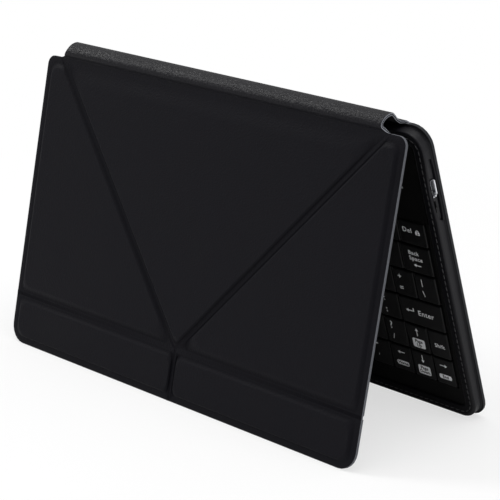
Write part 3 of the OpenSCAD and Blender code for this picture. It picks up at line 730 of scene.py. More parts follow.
def leather_rings(panel):
    """Profile of a panel's leather, from its board's hollow, round the cut edge, to the field.

    The shoulder up to the field rises by the board's thickness * (3 t^2 - 2 t^3), where t is the
    share of its width. Gives the rings, the material of each band (0 leather, 1 cut edge) and the
    crease value at each point: the ring's own times the edge's. That value paints shade into the
    channel and the foot of the shoulder.
    """
    width = in_mm(sizes().shoulder)
    # the hollow's roof and wall, the underside, the cut edge round to the lip, the channel's foot
    rings = [
        panel_ring(panel, 1, 0.5, LIP_Z), panel_ring(panel, 1, 0.5, LINING_T),
        panel_ring(panel, 0, 0.1, LINING_T), panel_ring(panel, 0, 0, LINING_T, -0.1),
        panel_ring(panel, 0, 0, LIP_Z, 0.16), panel_ring(panel, 0, 0.06, LIP_Z, 0.05),
        panel_ring(panel, 0, 0.2, LIP_Z), panel_ring(panel, 1, -0.45, LIP_Z),
        panel_ring(panel, 1, -0.2, LIP_Z - 0.03),
    ]
    numbers = [0, 0, 1, 1, 1, 0, 0, 0]
    # crease value of each ring, which paints shade in the channel and fades out up the shoulder
    creases = [0.0] * 5 + [0.2, 0.25, 0.6, 1.0]
    for t in np.linspace(0, 1, 10)[1:]:
        rise = t * t * (3 - 2 * t)
        rings.append(panel_ring(panel, 1, -0.1, LIP_Z + rise * BOARD_T, widen=t * width))
        numbers.append(0)
        creases.append(max(0.0, 1 - 2 * t) ** 0.7)
    rings.append(panel_ring(panel, 1, 0.3, FIELD_Z, widen=width))
    edge = rings[-1]
    middle = edge.mean(0)
    for f in (0.85, 0.5):
        rings.append(middle + (edge - middle) * f)
    numbers += [0] * 3
    edge_crease = panel[-1]
    creases = np.array(creases + [0.0] * 3)[:, None] * edge_share(edge_crease)
    return np.array(rings), numbers, creases.ravel()


def lining_rings(panel):
    """Profile of a panel's lining: a flat sheet with its cut edge slightly eased."""
    rings = [
        panel_ring(panel, 0, 0.12, 0.0), panel_ring(panel, 0, 0.0, 0.0, -0.1),
        panel_ring(panel, 0, 0.0, LINING_T, 0.1), panel_ring(panel, 0, 0.12, LINING_T),
    ]
    return np.array(rings), [1, 1, 1], 0.0


def mirrored(points, left):
    """The points with x turned to -x, for a piece on the left."""
    return points * np.array([-1.0, 1.0, 1.0]) if left else points


def make_panel(name, panel, place, left, body, nodes, edge="cut_edge"):
    """The leather and the lining of one panel, on their body."""
    sheets = (
        ("_leather", "_skin", "cover_leather", "cover", leather_rings(panel), None),
        ("_lining", "_lining", "lining", "lining", lining_rings(panel), 0),
    )
    for ending, kind, slot, finish, (rings, numbers, creases), caps in sheets:
        patches = Patches()
        placed = place(mirrored(rings, left))
        shell_from_rings(patches, placed, np.array(numbers), creases, caps)
        piece = patches.build(name + ending, [finish_of(finish), finish_of(edge)], SMOOTH_UP_TO)
        seat(piece, body, slot, nodes + kind)
    dress(nodes + "_board", "board")


def leather_strip(name, flat, top, left, walls, crease):
    """A slab of leather over flat points (i, j, 2), from the lining's height up to the tops (i, j).

    walls are the materials of its four sides: 0 for leather, 1 for a cut edge.
    """
    outer = np.concatenate([flat, top[..., None]], -1)
    inner = np.concatenate([flat, np.full(top.shape + (1,), LINING_T)], -1)
    patches = Patches()
    faces = [on_cover(mirrored(face, left)) for face in (outer, inner)]
    slab(patches, *faces, walls, crease)
    return patches.build(name, [finish_of("cover"), finish_of("cut_edge")], SMOOTH_UP_TO)


# How far a fold's strip dips along its middle, and how far the upright one swells
FOLD_DIP, UPRIGHT_SWELL = 0.04, 0.05


def make_strip(name, start, end, start_cut, end_cut, left, end_material, crease):
    """A fold's strip of leather, from one panel to the next.

    At each width w across the fold a line runs from start_cut(w) to end_cut(w), both measured
    from start along the fold. Its top is lower by the dip * (1 - (w / half width)^2). crease is
    a pair of values, at its start and at its end, and changes evenly between them; it paints shade
    along the fold.
    """
    along = unit(end - start)
    side = left_of(along)
    w = np.linspace(-SEAM, SEAM, 11)
    first = start + along * start_cut(w)[:, None] + side * w[:, None]
    last = start + along * end_cut(w)[:, None] + side * w[:, None]
    t = np.linspace(0, 1, 41)[:, None, None]
    dip = FOLD_DIP * (1 - (w / SEAM) ** 2) * np.ones((41, 1))
    piece = leather_strip(
        name, first * (1 - t) + last * t, LIP_Z - dip, left, (0, end_material, 0, 0),
        crease[0] + (crease[1] - crease[0]) * t[..., 0],
    )
    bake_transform(piece)


def leather_outward(points):
    """Keyboard frame to metres for the back cover, which has its leather away from the keys."""
    return on_back(points * np.array([1, 1, -1.0]) + np.array([0, 0, STACK_T]))


class CASE_OT_cover_panels(Operator):
    """Make the five panels of the front cover and the back cover, leather and lining"""

    bl_idname = "case.cover_panels"
    bl_label = "Cover panels"

    def execute(self, context):
        make_panel("centre", PANELS["centre"], on_cover, False, "cover_centre", "centre")
        for side, left in (("left", True), ("right", False)):
            for name in (f"wing_{side}", f"foot_{side}"):
                make_panel(name, PANELS[name], on_cover, left, name, name)
            dress(f"foot_{side}_magnet", "steel")
        make_panel(
            "back", PANELS["back"], leather_outward, False, "keyboard_half", "back", "stained_edge"
        )
        return {"FINISHED"}


class CASE_OT_fold_strips(Operator):
    """Make the strips of leather in the folds between the panels of the front cover"""

    bl_idname = "case.fold_strips"
    bl_label = "Fold strips"

    def execute(self, context):
        # at the apex a strip is cut along the middle line, or in a mitre halfway to the next fold
        apex, corner = np.array([0, FOOT_H]), np.array([FOLD_X, COVER_H])
        along = unit(corner - apex)
        angle = math.atan2(along[1], along[0])
        half_wing = 1 / math.tan(angle / 2)
        diagonal = np.linalg.norm(corner - apex)
        for side, left in (("left", True), ("right", False)):
            # each strip's last pair is its crease value at both ends, which paints shade along the
            # fold
            make_strip(
                f"diagonal_fold_{side}", apex, corner,
                lambda w: np.where(w > 0, w * along[1] / along[0], -w * half_wing),
                lambda w: diagonal - w * along[0] / along[1],
                left, 0, (0.5, 0.2) if left else (0.4, 0.0),
            )
            make_strip(
                f"cross_fold_{side}", apex, np.array([HALF_W, FOOT_H]),
                lambda w: np.where(w > 0, w * half_wing, -w), lambda w: np.full(len(w), HALF_W),
                left, 1, (0.1, 0.7),
            )
        for side, left in (("left", True), ("right", False)):
            w, t = np.linspace(UPRIGHT_GAP, SEAM, 7), np.linspace(0, 1, 13)[:, None]
            flat = np.stack([np.broadcast_to(w, (13, 7)), t * (FOOT_H - w)], -1)
            swell = UPRIGHT_SWELL * (1 - (w / SEAM) ** 2) * np.ones((13, 1))
            name = f"upright_fold_{side}"
            # 0.5 is the strip's crease value, which paints shade along the fold
            piece = leather_strip(name, flat, LIP_Z + swell, left, (1, 0, 0, 0), 0.5)
            seat(piece, f"foot_{side}", "cover_leather")
        return {"FINISHED"}


# ---- Spine ----

# Length of the Hermite curve at a crease, and of the strip's end that bends into a cover
CREASE_REACH, BEND_REACH = 3.0, 2.4
# Half of the gap between the strip's leather and its lining
SHEET_GAP = 0.05
# How much shorter the strip is at its left end, and its flares: there into the front cover, and
# at both ends into the back one
LEFT_CUT_BACK, LEFT_FLARE, BACK_FLARE = 0.6, 6.0, 3.0


def spine_middle():
    """The strip's middle line by arc length, in the Y-Z plane: points and directions.

    Two cubic curves meet level at the crest. At both creases the last 3 mm are replaced by a
    Hermite curve that leaves in the direction of the cover, so the leather turns without a corner.
    Each point of a cubic curve is (1-t)^3 a + 3 (1-t)^2 t b + 3 (1-t) t^2 c + t^3 d.
    """
    crest = np.array([FRONT_CREASE[0] + CREST_IN, max(FRONT_CREASE[1], BACK_CREASE[1]) + CREST_UP])
    front = [FRONT_CREASE, FRONT_CREASE + [-BULGE, 2.4], crest - [CREST_IN - 0.4, 0], crest]
    back = [crest, crest + [2.2, 0], BACK_CREASE + [-5.4, 0.5], BACK_CREASE]
    t = np.linspace(0, 1, 400)[:, None]
    halves = [
        (1 - t) ** 3 * c[0] + 3 * (1 - t) ** 2 * t * c[1] + 3 * (1 - t) * t * t * c[2] + t**3 * c[3]
        for c in (front, back)
    ]
    line = np.concatenate([halves[0], halves[1][1:]])
    for flip, point, toward in ((False, FRONT_CREASE, COVER_UP), (True, BACK_CREASE, BACK_UP)):
        line = line[::-1] if flip else line
        far = np.linalg.norm(np.diff(line, axis=0), axis=1).cumsum()
        k = int(np.searchsorted(far, CREASE_REACH))
        out = unit(line[k + 1] - line[k])
        h = np.linspace(0, 1, 80)[:, None]
        joined = (
            (2 * h**3 - 3 * h**2 + 1) * point + (h**3 - 2 * h**2 + h) * CREASE_REACH * toward
            + (3 * h**2 - 2 * h**3) * line[k] + (h**3 - h**2) * CREASE_REACH * out
        )
        line = np.concatenate([joined, line[k + 1 :]])
        line = line[::-1] if flip else line
    steps = np.linalg.norm(np.diff(line, axis=0), axis=1)
    far = np.concatenate([[0], steps.cumsum()])
    even = np.linspace(0, far[-1], 600)
    line = np.stack([np.interp(even, far, line[:, i]) for i in (0, 1)], -1)
    return even, line, unit(np.gradient(line, axis=0))


def spine_sheet(rows, near, far, name, material):
    """Part of the strip at the arc lengths rows, as a slab from offset near to offset far.

    Its half width is the strip's, and widens into each cover by r - sqrt(r^2 - (r - d)^2), where
    d is the arc length from the crease and r the flare. At its two ends the sheet is cut, with
    slightly eased edges. Its crease value falls from 0 beside the covers to -1 on the arch.
    """
    even, line, along = spine_middle()
    total = even[-1]
    point = np.stack([np.interp(rows, even, line[:, i]) for i in (0, 1)], -1)
    out = left_of(unit(np.stack([np.interp(rows, even, along[:, i]) for i in (0, 1)], -1)))
    halves = []
    right_flare = in_mm(sizes().shoulder_fillet)
    for width, flare in ((SPINE_W / 2 - LEFT_CUT_BACK, LEFT_FLARE), (SPINE_W / 2, right_flare)):
        half = np.full(len(rows), width)
        for distance, r in ((rows, flare), (total - rows, BACK_FLARE)):
            short = np.clip(1 - distance / r, 0, 1)
            half += r * (1 - np.sqrt(1 - short**2))
        halves.append(half[:, None])
    # distances in from a cut end, and how far each face is eased there
    ends = np.array([0.0, 0.05, 0.2, 0.6])
    ease = np.array([0.14, 0.05, 0.0, 0.0])
    share = np.linspace(0, 1, 41)[1:-1]
    left, right = ends[-1] - halves[0], halves[1] - ends[-1]
    x = np.concatenate(
        [ends - halves[0], left + (right - left) * share, halves[1] - ends[::-1]], 1
    )
    squeeze = np.concatenate([ease, np.zeros(len(share)), ease[::-1]])
    sides = []
    for offset, sign in ((near, -1.0), (far, 1.0)):
        depth = offset + sign * squeeze
        yz = SHIFT + point[:, None] + out[:, None] * depth[None, :, None]
        sides.append(np.concatenate([x[..., None], yz], -1) * MM)
    from_cover = np.minimum(rows, total - rows) - in_mm(sizes().arch_start)
    arch = np.clip(from_cover / in_mm(sizes().arch_blend), 0, 1)[:, None]
    patches = Patches()
    slab(patches, *sides, (0, 0, 1, 1), -arch * arch * (3 - 2 * arch))
    # the spine's cut ends take the lighter copy of the cut edge, which is painted light
    piece = patches.build(name, [finish_of(material), finish_of("bright_edge")], sharp=40)
    return piece


class CASE_OT_spine(Operator):
    """Make the spine strip, whose leather bends into both covers"""

    bl_idname = "case.spine"
    bl_label = "Spine strip"

    def execute(self, context):
        total = spine_middle()[0][-1]
        # name, offset of its outer face, of its inner face, finish, slot and node
        layers = (
            (
                "spine_leather", SKIN_T / 2, -SKIN_T / 2 + SHEET_GAP,
                "cover", "cover_leather", "spine_skin",
            ),
            (
                "spine_lining", -SKIN_T / 2 - SHEET_GAP, -SKIN_T / 2 - LINING_T,
                "lining", "lining", "spine_lining",
            ),
        )
        # ending of its name, first and last arc length, body, crease and the body's direction there
        bends = (
            ("_front", 0, BEND_REACH, "cover_centre", FRONT_CREASE, COVER_UP),
            ("_back", total - BEND_REACH, total, "keyboard_half", BACK_CREASE, BACK_UP),
        )
        for name, near, far, material, slot, node in layers:
            rows = np.linspace(BEND_REACH, total - BEND_REACH, 60)
            middle = spine_sheet(rows, near, far, name, material)
            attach(middle, "spine")
            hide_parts(node)
            for ending, first, last, body, crease, up in bends:
                rows = np.linspace(first, last, 22)
                bend = spine_sheet(rows, near, far, name + ending, material)
                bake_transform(bend)
        return {"FINISHED"}


# ---- Tray ----

# Crease value of the border's face, which paints shade on it and dulls it, and the reach of
# its foot onto the back cover
FACE_PAINTED_SHADE, FOOT_FLARE = 0.8, 0.7
# Radius of the border's inner edge, and the crown of its face
INNER_R, CROWN = 0.7, 0.03
# Steps round each corner of the border, and along each of its sides
CORNER_STEPS, SIDE_STEPS = 8, 48
# Index in the border's profile of the band that is its outer wall
OUTER_WALL = 2


def border_path(gap, straight):
    """The tray's outline moved in by gap, with many points along each side."""
    corners = box_corners(-TRAY_W / 2 + gap, gap, TRAY_W / 2 - gap, TRAY_H - gap)
    return outline(corners, [max(0.6, CORNER_R - gap)] * 4, CORNER_STEPS, straight)


def border_profile():
    """Section of the border: (distance in from the outer edge, height), from its outer foot up.

    Both edges of its face are quarter circles: distance r - r * cos, height r * sin above their
    foot. The stitches lie in a shallow groove between them.
    """
    r = in_mm(sizes().border_round)
    turn = np.radians(np.linspace(0, 90, 8))
    outer = np.stack([r - r * np.cos(turn), HALF_T - r + r * np.sin(turn)], -1)
    s = in_mm(sizes().stitch_in)
    groove = [
        [s - 0.35, HALF_T], [s - 0.2, HALF_T - 0.07], [s, HALF_T - 0.1],
        [s + 0.2, HALF_T - 0.07], [s + 0.35, HALF_T],
    ]
    back = turn[::-1]
    inner = np.stack(
        [BORDER_W - INNER_R + INNER_R * np.cos(back), HALF_T - INNER_R + INNER_R * np.sin(back)], -1
    )
    crown = [[BORDER_W / 2 + 0.4, HALF_T + CROWN]]
    # the foot curves out onto the back cover, and the floor closes the section under the tray
    foot = [[-FOOT_FLARE, STACK_T + 0.02], [-FOOT_FLARE / 4, STACK_T + 0.12], [0.0, STACK_T + 0.3]]
    floor = [[BORDER_W, STACK_T + 0.4], [BORDER_W / 2, STACK_T]]
    return np.concatenate([foot, outer, groove, crown, inner, floor])


def border_rings(profile):
    """The section carried round the tray: rings (profile, path, 3), sagging above the window."""
    points = 4 * (SIDE_STEPS + CORNER_STEPS + 1)
    rings = np.array([
        np.concatenate([border_path(d, SIDE_STEPS), np.full((points, 1), z)], 1)
        for d, z in profile
    ])
    high = np.clip((rings[..., 2] - WINDOW_LOW) / (HALF_T - WINDOW_LOW), 0, 1)
    near = np.clip((rings[..., 0] - TRAY_W / 2 + 3.0) / 2.5, 0, 1)
    rings[..., 0] -= window_bow(rings[..., 1]) * high * near
    return rings


def window_tunnel(outer_low, outer_high, inner_low, inner_high):
    """The side window: an opening with a slanted lower end through both walls of the border.

    Columns run round the opening. The first and last rows are the wall's own points below and
    above the opening, and the rows between go over an eased lip and through the wall. An opening
    of half length a and half height b is the curve |s/a|^7 + |z/b|^4 = 1, and its lower end
    leans by the slant times the height.
    """
    n = len(outer_low)
    angle = np.linspace(0, np.pi, n)
    s = -np.sign(np.cos(angle)) * np.abs(np.cos(angle)) ** (2 / 7)
    z = np.sin(angle) ** (2 / 4)
    loop_s = np.concatenate([s, s[::-1]])
    loop_z = np.concatenate([-z, z[::-1]])
    low, high = WINDOW_LOW, HALF_T - in_mm(sizes().border_round) - 0.05
    half = np.array([WINDOW_L / 2, (high - low) / 2])
    lean = WINDOW_SLANT * (1 + loop_z) / 2 * (1 - loop_s) / 2
    rows = [np.concatenate([outer_low, outer_high[::-1]])]
    x = TRAY_W / 2
    bow = window_bow(WINDOW_S + WINDOW_L / 2 * (1 + loop_s)) * (1 + loop_z) / 2
    # depth from the outer wall, and how much wider the opening is there
    steps = (
        (0.02, 0.1), (0.12, 0.03), (0.3, 0.0), (BORDER_W - 0.5, 0.0), (BORDER_W - 0.06, 0.1),
        (BORDER_W, 0.2),
    )
    for depth, grow in steps:
        fade = 1 - depth / BORDER_W
        rows.append(np.stack([
            x - depth - bow * fade, WINDOW_S + half[0] + loop_s * (half[0] + grow) + lean,
            low + half[1] + loop_z * (half[1] + min(grow, 0.04)),
        ], -1))
    rows.append(np.concatenate([inner_low, inner_high[::-1]]))
    return np.array(rows)


def window_bow(s):
    """How far the thin strip above the window sags inward: depth * sin(pi * share)^2."""
    share = np.clip((s - WINDOW_S) / WINDOW_L, 0, 1)
    return WINDOW_SAG * np.sin(np.pi * share) ** 2


def make_stitches():
    """Stitches along the border: each is a bent capsule whose radius is r * (1 - a^4)^(1/2).

    a runs from -1 to 1 along the stitch, which takes 0.8 of the pitch, and both of its ends dip
    into the leather by a^4. Each stitch lies a little across the line, as a lockstitch does.
    """
    s = sizes()
    gap, pitch, r = in_mm(s.stitch_in), in_mm(s.stitch_pitch), in_mm(s.thread) / 2
    path = border_path(gap, 200)
    path = np.concatenate([path, path[:1]])
    far = np.concatenate([[0], np.linalg.norm(np.diff(path, axis=0), axis=1).cumsum()])
    count = int(far[-1] / pitch)
    middle = (np.arange(count) + 0.5) * far[-1] / count
    a = np.linspace(-1, 1, 11)
    at = (middle[:, None] + a * pitch * 0.4) % far[-1]
    point = np.stack([np.interp(at, far, path[:, i]) for i in (0, 1)], -1)
    along = unit(point[:, -1:] - point[:, :1])
    side = left_of(along)
    swell = r * np.sqrt(1 - np.minimum(1, a**4)) + 0.01
    b = np.linspace(0, 2 * np.pi, 9)[:-1]
    slant = 0.1 * a
    across = side[:, :, None] * (slant[:, None] + swell[:, None] * np.cos(b))[None, ..., None]
    # a stitch's middle line is 0.04 mm under the border's face, and its ends are 0.16 mm under it
    height = HALF_T - 0.06 + 0.12 * (1 - a**4)[:, None] - 0.1 + swell[:, None] * np.sin(b)
    flat = point[:, :, None] + across
    tube = np.concatenate([flat, np.broadcast_to(height, flat.shape[:3])[..., None]], -1)
    rings, n = len(a), len(b)
    per = rings * n
    starts = per * np.arange(count)[:, None, None]
    walls = (grid_quads(rings, n, loop_columns=True)[None] + starts).reshape(-1, 4)
    caps = np.stack([np.arange(n)[::-1], np.arange(n) + per - n])
    ends = (caps[None] + starts).reshape(-1, n)
    patches = Patches()
    patches.add(on_back(tube), walls.tolist() + ends.tolist())
    return patches.build("border_stitches", [finish_of("thread")], sharp=60)


class CASE_OT_tray(Operator):
    """Make the tray's leather border with its side window, and the stitching round it"""

    bl_idname = "case.tray"
    bl_label = "Tray border"

    def execute(self, context):
        profile = border_profile()
        rings = border_rings(profile)
        count, n = rings.shape[:2]
        inner_wall = int(np.argmax(profile[:, 0] > BORDER_W - 1e-6))
        # the columns of the right wall that reach past the window by 2 mm at each end
        path = rings[OUTER_WALL]
        beside = (path[:, 1] > WINDOW_S - 2) & (path[:, 1] < WINDOW_S + WINDOW_L + 2)
        span = np.flatnonzero((path[:, 0] > TRAY_W / 2 - 1e-6) & beside)
        quads = grid_quads(count, n, loop_rows=True, loop_columns=True)
        band, column = quads[:, 0] // n, quads[:, 0] % n
        opening = np.isin(column, span[:-1]) & np.isin(band, [OUTER_WALL, inner_wall])
        patches = Patches()
        # the face's crease value, painted shade on the face turned away from the light, grows over
        # 0.8 mm from its rounded outer edge
        face = np.clip((profile[:, 0] - in_mm(sizes().border_round)) / 0.8, 0, 1)
        patches.add(on_back(rings), quads[~opening], 0, np.repeat(FACE_PAINTED_SHADE * face, n))
        tunnel = window_tunnel(
            rings[OUTER_WALL][span], rings[OUTER_WALL + 1][span],
            rings[inner_wall + 1][span], rings[inner_wall][span],
        )
        patches.add(on_back(tunnel), grid_quads(len(tunnel), 2 * len(span), loop_columns=True))
        border = patches.build("tray_border", [finish_of("border")], sharp=40, merge=2e-7)
        seat(border, "keyboard_half", "cover_leather", "tray_wrap", "tray_core")
        seat(make_stitches(), "keyboard_half", "thread", "tray_stitching")
        dress("tray_magnets", "steel")
        return {"FINISHED"}


# ---- Keyboard ----


def softened(node, name, width, material):
    """A copy of a solid with its triangles merged and its edges eased by a bevel of that width."""
    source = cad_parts[node]
    mesh = source.data.copy()
    bm = bmesh.new()
    bm.from_mesh(mesh)
    bmesh.ops.remove_doubles(bm, verts=bm.verts, dist=1e-6)
    bmesh.ops.dissolve_limit(
        bm, angle_limit=math.radians(1), verts=bm.verts, edges=bm.edges, delimit={"NORMAL"}
    )
    bm.to_mesh(mesh)
    bm.free()
    mesh.materials.clear()
    mesh.materials.append(finish_of(material))
    finish_shading(mesh, SMOOTH_UP_TO)
    made = bpy.data.objects.new(name, mesh)
    bpy.context.scene.collection.objects.link(made)
    bevel = made.modifiers.new("eased_edges", "BEVEL")
    bevel.width, bevel.segments = width * MM, 2
    bevel.limit_method, bevel.angle_limit = "ANGLE", math.radians(40)
    return made


class CASE_OT_keyboard(Operator):
    """Ease the edges of the keyboard's moulded case, and dress the parts inside it"""

    bl_idname = "case.keyboard"
    bl_label = "Keyboard case"

    def execute(self, context):
        for node, width in (("key_frame", 0.12), ("case_base", 0.1)):
            piece = softened(node, node.replace("key_", "top_"), width, node)
            seat(piece, "keyboard_half", "case_plastic", node)
        inside = {
            "membrane_sheet": "film", "dome_sheet": "rubber", "circuit_board": "circuit",
            "battery": "foil", "case_screws": "steel",
        }
        for node, material in inside.items():
            dress(node, material)
        return {"FINISHED"}


# Widths of the keys, from the row of the space bar up; 0 is the key that takes the width left
ROWS = [
    [NARROW, LETTER, NARROW, NARROW, 0.0, *[NARROW] * 5, LAST],
    [0.0, *[LETTER] * 7, *[NARROW] * 4, LAST],
    [0.0, *[LETTER] * 9, NARROW, ENTER],
    [0.0, *[LETTER] * 10, NARROW, NARROW],
    [0.0, *[LETTER] * 10, NARROW, BACKSPACE],
    [*[(KEYS_W - DELETE) / 13] * 13, DELETE],
]
# Nodes of the caps: their row, and their places in it
KEY_NODES = {
    "keys_function": (5, range(13)), "key_delete": (5, [13]), "keys_number": (4, range(12)),
    "key_backspace": (4, [12]), "key_tab": (3, [0]), "keys_upper": (3, range(1, 13)),
    "key_caps_lock": (2, [0]), "keys_home": (2, range(1, 11)), "key_enter": (2, [11]),
    "key_shift_left": (1, [0]), "keys_lower": (1, range(1, 11)), "key_up": (1, [11]),
    "key_shift_right": (1, [12]), "keys_modifier": (0, [0, 1, 2, 3, 5, 6, 7]),
    "key_space": (0, [4]), "key_left": (0, [8]), "key_down": (0, [9]), "key_right": (0, [10]),
}


def key_box(row, index):
    """Middle (x, s) and size of a cap; the row's 0 takes the width that the others leave."""
    widths = [w or KEYS_W - sum(ROWS[row]) for w in ROWS[row]]
    x = -KEYS_W / 2 + sum(widths[:index]) + widths[index] / 2
    depth = ROW_PITCH if row < 5 else TOP_ROW_D
    s = KEYS_S + row * ROW_PITCH + depth / 2
    return x, s, widths[index] - KEY_GAP, depth - KEY_GAP


def cap_rings(boxes):
    """Keycaps (key, ring, point, 3): round-cornered rectangles stacked over a bevelled edge.

    A ring's point is sign * (half size - inset - radius) + radius * direction, and the top sinks
    by dish * (1 - f^2), where f is the ring's share of the cap's size.
    """
    steps = sizes().key_sides
    dish = in_mm(sizes().dish)
    angle = np.radians(np.linspace(0, 90, steps + 1))
    quarter = np.concatenate([angle, [np.pi / 2]])
    turns = np.concatenate([quarter + k * np.pi / 2 for k in range(4)])
    direction = np.stack([np.cos(turns), np.sin(turns)], -1)
    signs = np.repeat(np.array([[1, 1], [-1, 1], [-1, -1], [1, -1]], float), steps + 2, 0)
    middles = np.arange(steps + 1, 4 * (steps + 2), steps + 2)
    signs[middles] = np.round(direction[middles])
    half = np.array(boxes)[:, 2:] / 2
    top = HALF_T
    # inset, radius and height of each ring, from inside the skirt up to the top's edge
    levels = [
        (0.25, 0.4, 4.84), (0.08, 0.5, 4.8), (0.0, 0.55, 4.9), (0.0, 0.55, top - 0.5),
        (0.04, 0.58, top - 0.36), (0.13, 0.6, top - 0.2), (0.27, 0.62, top - 0.08),
        (0.45, 0.65, top - 0.02), (0.7, 0.7, top),
    ]
    rings = []
    for gap, r, z in levels:
        flat = signs * (half[:, None] - gap - r) + direction * r
        rings.append(np.concatenate([flat, np.full(flat.shape[:2] + (1,), z)], -1))
    edge = rings[-1]
    for f in (0.8, 0.5, 0.2):
        ring = edge * [f, f, 1]
        ring[..., 2] = top - dish * (1 - f * f)
        rings.append(ring)
    rings = np.stack(rings, 1)
    rings[..., :2] += np.array(boxes)[:, None, None, :2]
    return rings


class CASE_OT_keycaps(Operator):
    """Make every keycap with a bevelled edge, round corners and a slightly dished top"""

    bl_idname = "case.keycaps"
    bl_label = "Keycaps"

    def execute(self, context):
        for node, (row, indices) in KEY_NODES.items():
            rings = cap_rings([key_box(row, i) for i in indices])
            patches = Patches()
            for key in rings:
                shell_from_rings(patches, on_back(key), np.zeros(len(key) - 1, int))
            name = node.replace("key", "cap", 1)
            piece = patches.build(name, [finish_of("keycap")], sharp=50)
            seat(piece, node, "keycap_plastic", node)
        return {"FINISHED"}


# ---- Legends ----

FUNCTION = ["Esc", *[f"F{i}" for i in range(1, 13)]]
NUMBERS = [("~", "`"), *zip("!@#$%^&*()", "1234567890"), ("_", "−")]
# Degrees by which an arrow is turned from pointing right
ARROWS = {"left": 180, "up": 90, "down": -90, "right": 0}
# Thickness of the letters, how much bolder their outline is, and the marks' height over a cap:
# letters, signs and plates, letters on a plate
LETTER_T, BOLD, BOLD_REVERSED = 0.02, 0.008, 0.016
LIFT, LIFT_SIGN, LIFT_REVERSED = 0.01, 0.03, 0.035


def legend_table():
    """Every mark: row, key, what, x and s from the key's middle, size, style."""
    marks = []

    def put(row, key, text, x, s, size, style="print"):
        marks.append((row, key, text, x, s, size, style))

    def pair(row, key, upper, lower):
        put(row, key, upper, -2.0, 2.9, 1.15)
        put(row, key, lower, -2.0, -2.9, 1.15)

    for i, text in enumerate(FUNCTION):
        put(5, i, text, -2.2, 2.0, 0.82)
    put(5, 13, "Del", -2.6, 1.2, 0.95)
    put(5, 13, "lock", 3.0, 1.2, 1.0, "icon")
    put(5, 13, "o", 3.0, 0.6, 0.5, "reversed")
    for i, (upper, lower) in enumerate(NUMBERS):
        pair(4, i, upper, lower)
    put(4, 12, "Back", -1.0, 3.1, 0.8)
    put(4, 12, "Space", -0.2, 0.4, 0.84)
    put(4, 12, "left", 0.0, -2.8, 0.9, "arrow")
    put(3, 0, "Tab", -4.6, 0.0, 0.95)
    for i, text in enumerate("QWERTYUIOP"):
        put(3, 1 + i, text, -2.6, 2.6, 1.15)
    pair(3, 11, "+", "=")
    pair(3, 12, "|", "\\")
    put(2, 0, "Caps Lock", -2.0, 0.0, 0.85)
    for i, text in enumerate("ASDFGHJKL"):
        put(2, 1 + i, text, -2.6, 2.6, 1.15)
    pair(2, 10, ":", ";")
    put(2, 11, "enter", -6.2, 0.2, 1.0, "icon")
    put(2, 11, "Enter", 2.4, 0.0, 1.05)
    put(1, 0, "Shift", -6.0, 0.0, 0.95)
    for i, text in enumerate("ZXCVBNM"):
        put(1, 1 + i, text, -2.6, 2.6, 1.15)
    pair(1, 8, "<", ",")
    pair(1, 9, ">", ".")
    put(1, 10, "?", -2.3, 2.9, 1.6)
    put(1, 10, "/", -2.0, -2.9, 1.15)
    put(1, 12, "Shift", 0.2, -0.6, 0.8)
    for i, text in ((0, "Fn"), (1, "Ctrl"), (2, "Opt"), (3, "Alt"), (5, "Alt"), (6, "Ctrl")):
        put(0, i, text, -0.4, 0.0, 0.85)
    put(0, 7, "″", -1.6, 2.9, 0.95)
    put(0, 7, "′", -1.6, -2.9, 0.95)
    for row, key, way, words in (
        (1, 11, "up", ("Page", "Up")), (0, 8, "left", ("Home",)),
        (0, 9, "down", ("Page", "Down")), (0, 10, "right", ("End",)),
    ):
        put(row, key, way, 0.0, 3.2, 0.9, "arrow")
        put(row, key, "plate", 0.0, -2.6, float(len(words)), "plate")
        for line, text in enumerate(words):
            drop = (line - (len(words) - 1) / 2) * 2.0
            put(row, key, text, 0.0, -2.6 - drop, 0.66, "reversed")
    return marks


def prism(points, low, high):
    """A flat outline raised between two heights: points, and faces with both caps."""
    flat = np.asarray(points, float)
    n = len(flat)
    ring = np.arange(n)
    both = np.concatenate([
        np.concatenate([flat, np.full((n, 1), z)], 1) for z in (low, high)
    ])
    sides = np.stack([ring, (ring + 1) % n, (ring + 1) % n + n, ring + n], -1).tolist()
    return both, sides + [ring[::-1].tolist(), (ring + n).tolist()]


def turned(points, degrees):
    """Flat points turned about the origin: (x cos - y sin, x sin + y cos)."""
    a = math.radians(degrees)
    turn = [[math.cos(a), math.sin(a)], [-math.sin(a), math.cos(a)]]
    return np.asarray(points, float) @ np.array(turn)


ARROW = [[-2.0, -0.2], [0.6, -0.2], [0.6, -0.85], [2.0, 0.0], [0.6, 0.85], [0.6, 0.2], [-2.0, 0.2]]
RETURN = [
    [-2.3, 0.0], [-0.9, -0.8], [-0.9, -0.22], [2.1, -0.22], [2.1, 1.5], [1.6, 1.5], [1.6, 0.22],
    [-0.9, 0.22], [-0.9, 0.8],
]


def sign_outlines(style, what, size):
    """Flat outlines of a sign: an arrow, a rounded plate, the return sign, or a padlock."""
    if style == "arrow":
        return [turned(ARROW, ARROWS[what])]
    if style == "plate":
        return [outline(box_corners(-3.4, -1.15 * size, 3.4, 1.15 * size), [0.8] * 4, 4, 0)]
    if what == "enter":
        return [RETURN]
    angle = np.radians(np.linspace(0, 180, 13))
    ring = np.stack([np.cos(angle), np.sin(angle)], -1)
    bow = np.concatenate([ring * 0.85, ring[::-1] * 0.5])
    return [outline(box_corners(-1.2, -1.4, 1.2, 0.1), [0.3] * 4, 3, 0), bow + [0, 0.15]]


